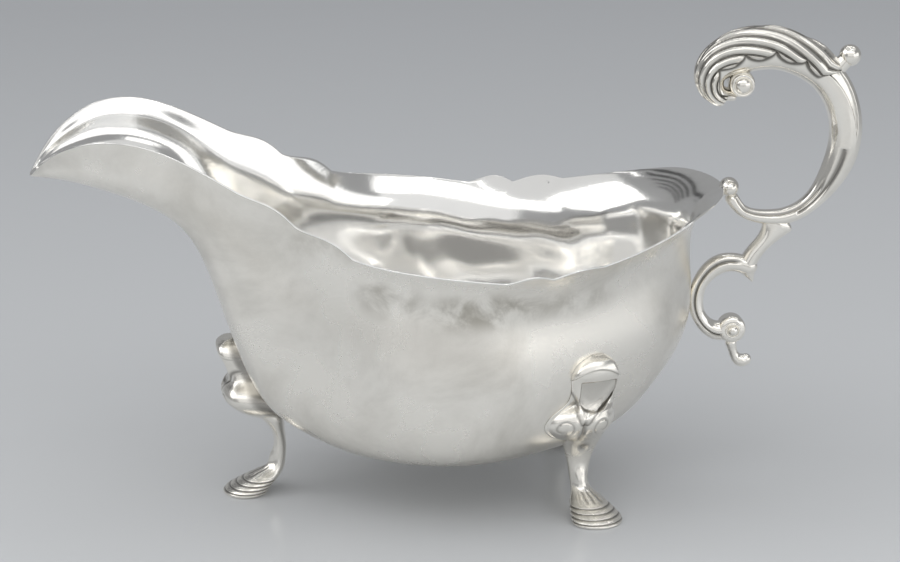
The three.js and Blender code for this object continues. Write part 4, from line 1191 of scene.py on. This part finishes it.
class BuildHandleDetails(bpy.types.Operator):
    """Builds the bead, the thumb knob, the strut, the tail and the four buttons of the handle"""

    bl_idname = "sauce_boat.handle_details"
    bl_label = "Handle details"

    def execute(self, context):
        shape, size = BowlShape(context.scene.boat_bowl), context.scene.boat_handle
        rim, foot = rim_end(shape), seat(shape, size.seat_drop)
        bead = ball(size.bead_radius, BEAD_HALF, rim + np.array(BEAD_CENTRE) * MM)
        add_casting("rim_bead", [(bead, True)])
        knob = ball(size.knob_radius, size.knob_radius, rim + np.array(KNOB_CENTRE) * MM)
        neck, depth = plain_scroll(KNOB_NECK, rim, 40)
        add_casting("thumb_knob", [(knob, True), neck], [None, depth])
        lift = np.array([*((foot - rim) / MM), 0, 0])
        strut, depth = plain_scroll([*STRUT_HEAD, *(np.array(STRUT_FOOT) + lift)], rim, 90)
        add_casting("strut", [strut], [depth])
        tail, depth = plain_scroll(TAIL, foot, 90)
        add_casting("tail", [tail], [depth])
        curl, volute = rim + np.array(CURL_CENTRE) * MM, foot + np.array(VOLUTE_CENTRE) * MM
        for name, side in (("left", -1), ("right", 1)):
            for kind, (radius, base), centre in (("curl", CURL_BUTTON, curl),
                                                 ("lower", LOWER_BUTTON, volute)):
                made = button(radius, base, BUTTON_HEIGHT, centre, side)
                add_casting(f"{kind}_button_{name}", [(made, True)])
        return {"FINISHED"}


class BuildFeet(bpy.types.Operator):
    """Builds the three legs with their hoofs and knee plates"""

    bl_idname = "sauce_boat.feet"
    bl_label = "Feet"

    def execute(self, context):
        shape, feet = BowlShape(context.scene.boat_bowl), context.scene.boat_feet
        silver = silver_material("silver_feet", context.scene.boat_finish.feet_roughness,
                                 haze=0.3, scratches=0.35)
        for name, side in (("front", 0), ("left", -1), ("right", 1)):
            for piece, node, make in (("hoof_leg", "leg", leg_sheet),
                                      ("plate", "knee_plate", plate_sheet)):
                sheet, shade_marks = make(shape, feet, side)
                add_mesh(f"{name}_{piece}", [sheet], [silver], f"{name}_{node}",
                         [shade_marks])
        return {"FINISHED"}


def floor_material(stage):
    """Smooth pale paper with a faint gloss, painted darker away from the camera as painted shade
    where its light falls off.
    """
    material, tree, shader, place = start_material("studio_floor")
    depth = add_node(tree, "ShaderNodeSeparateXYZ", {0: place}).outputs["Y"]
    front, near, far = FLOOR_STEPS
    # Painted shade: the colour darkens from the front to the back
    colour = mix_colour(tree, level(tree, depth, near, far), opaque(stage.floor_near),
                        opaque(stage.floor_far_shaded))
    colour = mix_colour(tree, level(tree, depth, front, near), opaque(stage.floor_front), colour)
    clouds = times(tree, cloudy(tree, place, 9.0, 0.3, 0.7), 0.03)
    for label, value in (("Base Color", colour), ("Specular IOR Level", FLOOR_GLOSS),
                         ("Roughness", math_node(tree, "ADD", clouds, FLOOR_ROUGHNESS))):
        feed(tree, shader.inputs[label], value)
    return material


def add_light(name, size, power, place, aim):
    """A soft rectangular light that looks at a point."""
    light = bpy.data.lights.new(name, "AREA")
    light.shape = "RECTANGLE"
    light.size, light.size_y = size
    light.energy = power
    holder = bpy.data.objects.new(name, light)
    holder.location = place
    holder.rotation_euler = (Vector(aim) - Vector(place)).to_track_quat("-Z", "Y").to_euler()
    bpy.context.scene.collection.objects.link(holder)


def slat_material():
    """Dark felt, unevenly worn."""
    material, tree, shader, place = start_material("dark_felt")
    colour = mix_colour(tree, cloudy(tree, place, 6.0, 0.3, 0.7), *FELT_COLOURS)
    feed(tree, shader.inputs["Base Color"], colour)
    shader.inputs["Roughness"].default_value = 0.9
    return material


def add_stage_mesh(name, points, material):
    """Flat rectangles of the studio, four corners each, which aren't part of the object."""
    mesh = bpy.data.meshes.new(name)
    mesh.from_pydata(points, [], np.arange(len(points)).reshape(-1, 4))
    mesh.materials.append(material)
    made = bpy.data.objects.new(name, mesh)
    bpy.context.scene.collection.objects.link(made)
    return made


def add_slats():
    """Upright dark slats behind the object that only the metal shows: they stripe what it mirrors
    and darken its edges."""
    left = np.arange(SLAT_COUNT) * (SLAT_WIDTH + SLAT_GAP)
    x = left[:, None] + np.array([0, SLAT_WIDTH, SLAT_WIDTH, 0])
    y, z = np.zeros_like(x), np.zeros_like(x) + [0, 0, SLAT_HEIGHT, SLAT_HEIGHT]
    points = np.stack([x, y, z], -1).reshape(-1, 3) + SLAT_CORNER
    add_stage_mesh("dark_slats", points, slat_material()).visible_camera = False


def build_world():
    """An even grey room that lights the floor, and that the metal mirrors as a dimmer one."""
    world = bpy.data.worlds.new("studio_room")
    world.use_nodes = True
    tree = world.node_tree
    background = tree.nodes["Background"]
    path = add_node(tree, "ShaderNodeLightPath").outputs["Is Glossy Ray"]
    feed(tree, background.inputs["Color"], mix_colour(tree, path, ROOM_COLOUR, ROOM_MIRRORED))
    bpy.context.scene.world = world


class BuildStage(bpy.types.Operator):
    """Builds the floor, the soft lights, the dark slats and the camera"""

    bl_idname = "sauce_boat.stage"
    bl_label = "Studio"

    def execute(self, context):
        stage = context.scene.boat_stage
        corners = np.array([(-1, -1, 0), (1, -1, 0), (1, 1, 0), (-1, 1, 0)]) * FLOOR_REACH
        add_stage_mesh("studio_floor", corners, floor_material(stage))
        for light in LIGHTS:
            add_light(*light)
        add_slats()
        build_world()
        aim = Vector((0, 0, stage.aim_height))
        flat = math.cos(stage.elevation)
        way = Vector((flat * math.sin(stage.azimuth), -flat * math.cos(stage.azimuth),
                      math.sin(stage.elevation)))
        data = bpy.data.cameras.new("camera")
        data.lens = stage.lens
        data.sensor_width = SENSOR_WIDTH
        camera = bpy.data.objects.new("camera", data)
        camera.location = aim + way * stage.distance
        camera.rotation_euler = (-way).to_track_quat("-Z", "Y").to_euler()
        context.scene.collection.objects.link(camera)
        context.scene.camera = camera
        context.scene.view_settings.view_transform = "Standard"
        return {"FINISHED"}


class SauceBoatPanel(bpy.types.Panel):
    """Lists the steps and their sizes in the sidebar"""

    bl_idname = "VIEW3D_PT_sauce_boat"
    bl_label = "Sauce boat"
    bl_space_type = "VIEW_3D"
    bl_region_type = "UI"
    bl_category = "Sauce boat"

    def draw(self, context):
        for (group, kind), steps in zip(GROUPS.items(), PANEL_STEPS):
            box = self.layout.box()
            for name in kind.__annotations__:
                box.prop(getattr(context.scene, group), name)
            for step in steps:
                box.operator(step.bl_idname)


OPERATORS = (BuildBowl, BuildScrolls, BuildLeaf, BuildHandleDetails, BuildFeet, BuildStage)
PANEL_STEPS = ((BuildBowl,), (BuildScrolls, BuildLeaf, BuildHandleDetails), (BuildFeet,), (),
               (BuildStage,))
GROUPS = {
    "boat_bowl": SauceBoatBowl, "boat_handle": SauceBoatHandle, "boat_feet": SauceBoatFeet,
    "boat_finish": SauceBoatFinish, "boat_stage": SauceBoatStage,
}


def register():
    """Adds the classes, and the settings to every scene."""
    for kind in (*GROUPS.values(), *OPERATORS, SauceBoatPanel):
        bpy.utils.register_class(kind)
    for name, kind in GROUPS.items():
        setattr(bpy.types.Scene, name, PointerProperty(type=kind))


def unregister():
    """Takes them away again."""
    for name in GROUPS:
        delattr(bpy.types.Scene, name)
    for kind in (SauceBoatPanel, *reversed(OPERATORS), *reversed(GROUPS.values())):
        bpy.utils.unregister_class(kind)


def main():
    """Builds everything in order."""
    register()
    bpy.ops.sauce_boat.bowl()
    bpy.ops.sauce_boat.scrolls()
    bpy.ops.sauce_boat.leaf()
    bpy.ops.sauce_boat.handle_details()
    bpy.ops.sauce_boat.feet()
    bpy.ops.sauce_boat.stage()


if __name__ == "__main__":
    main()
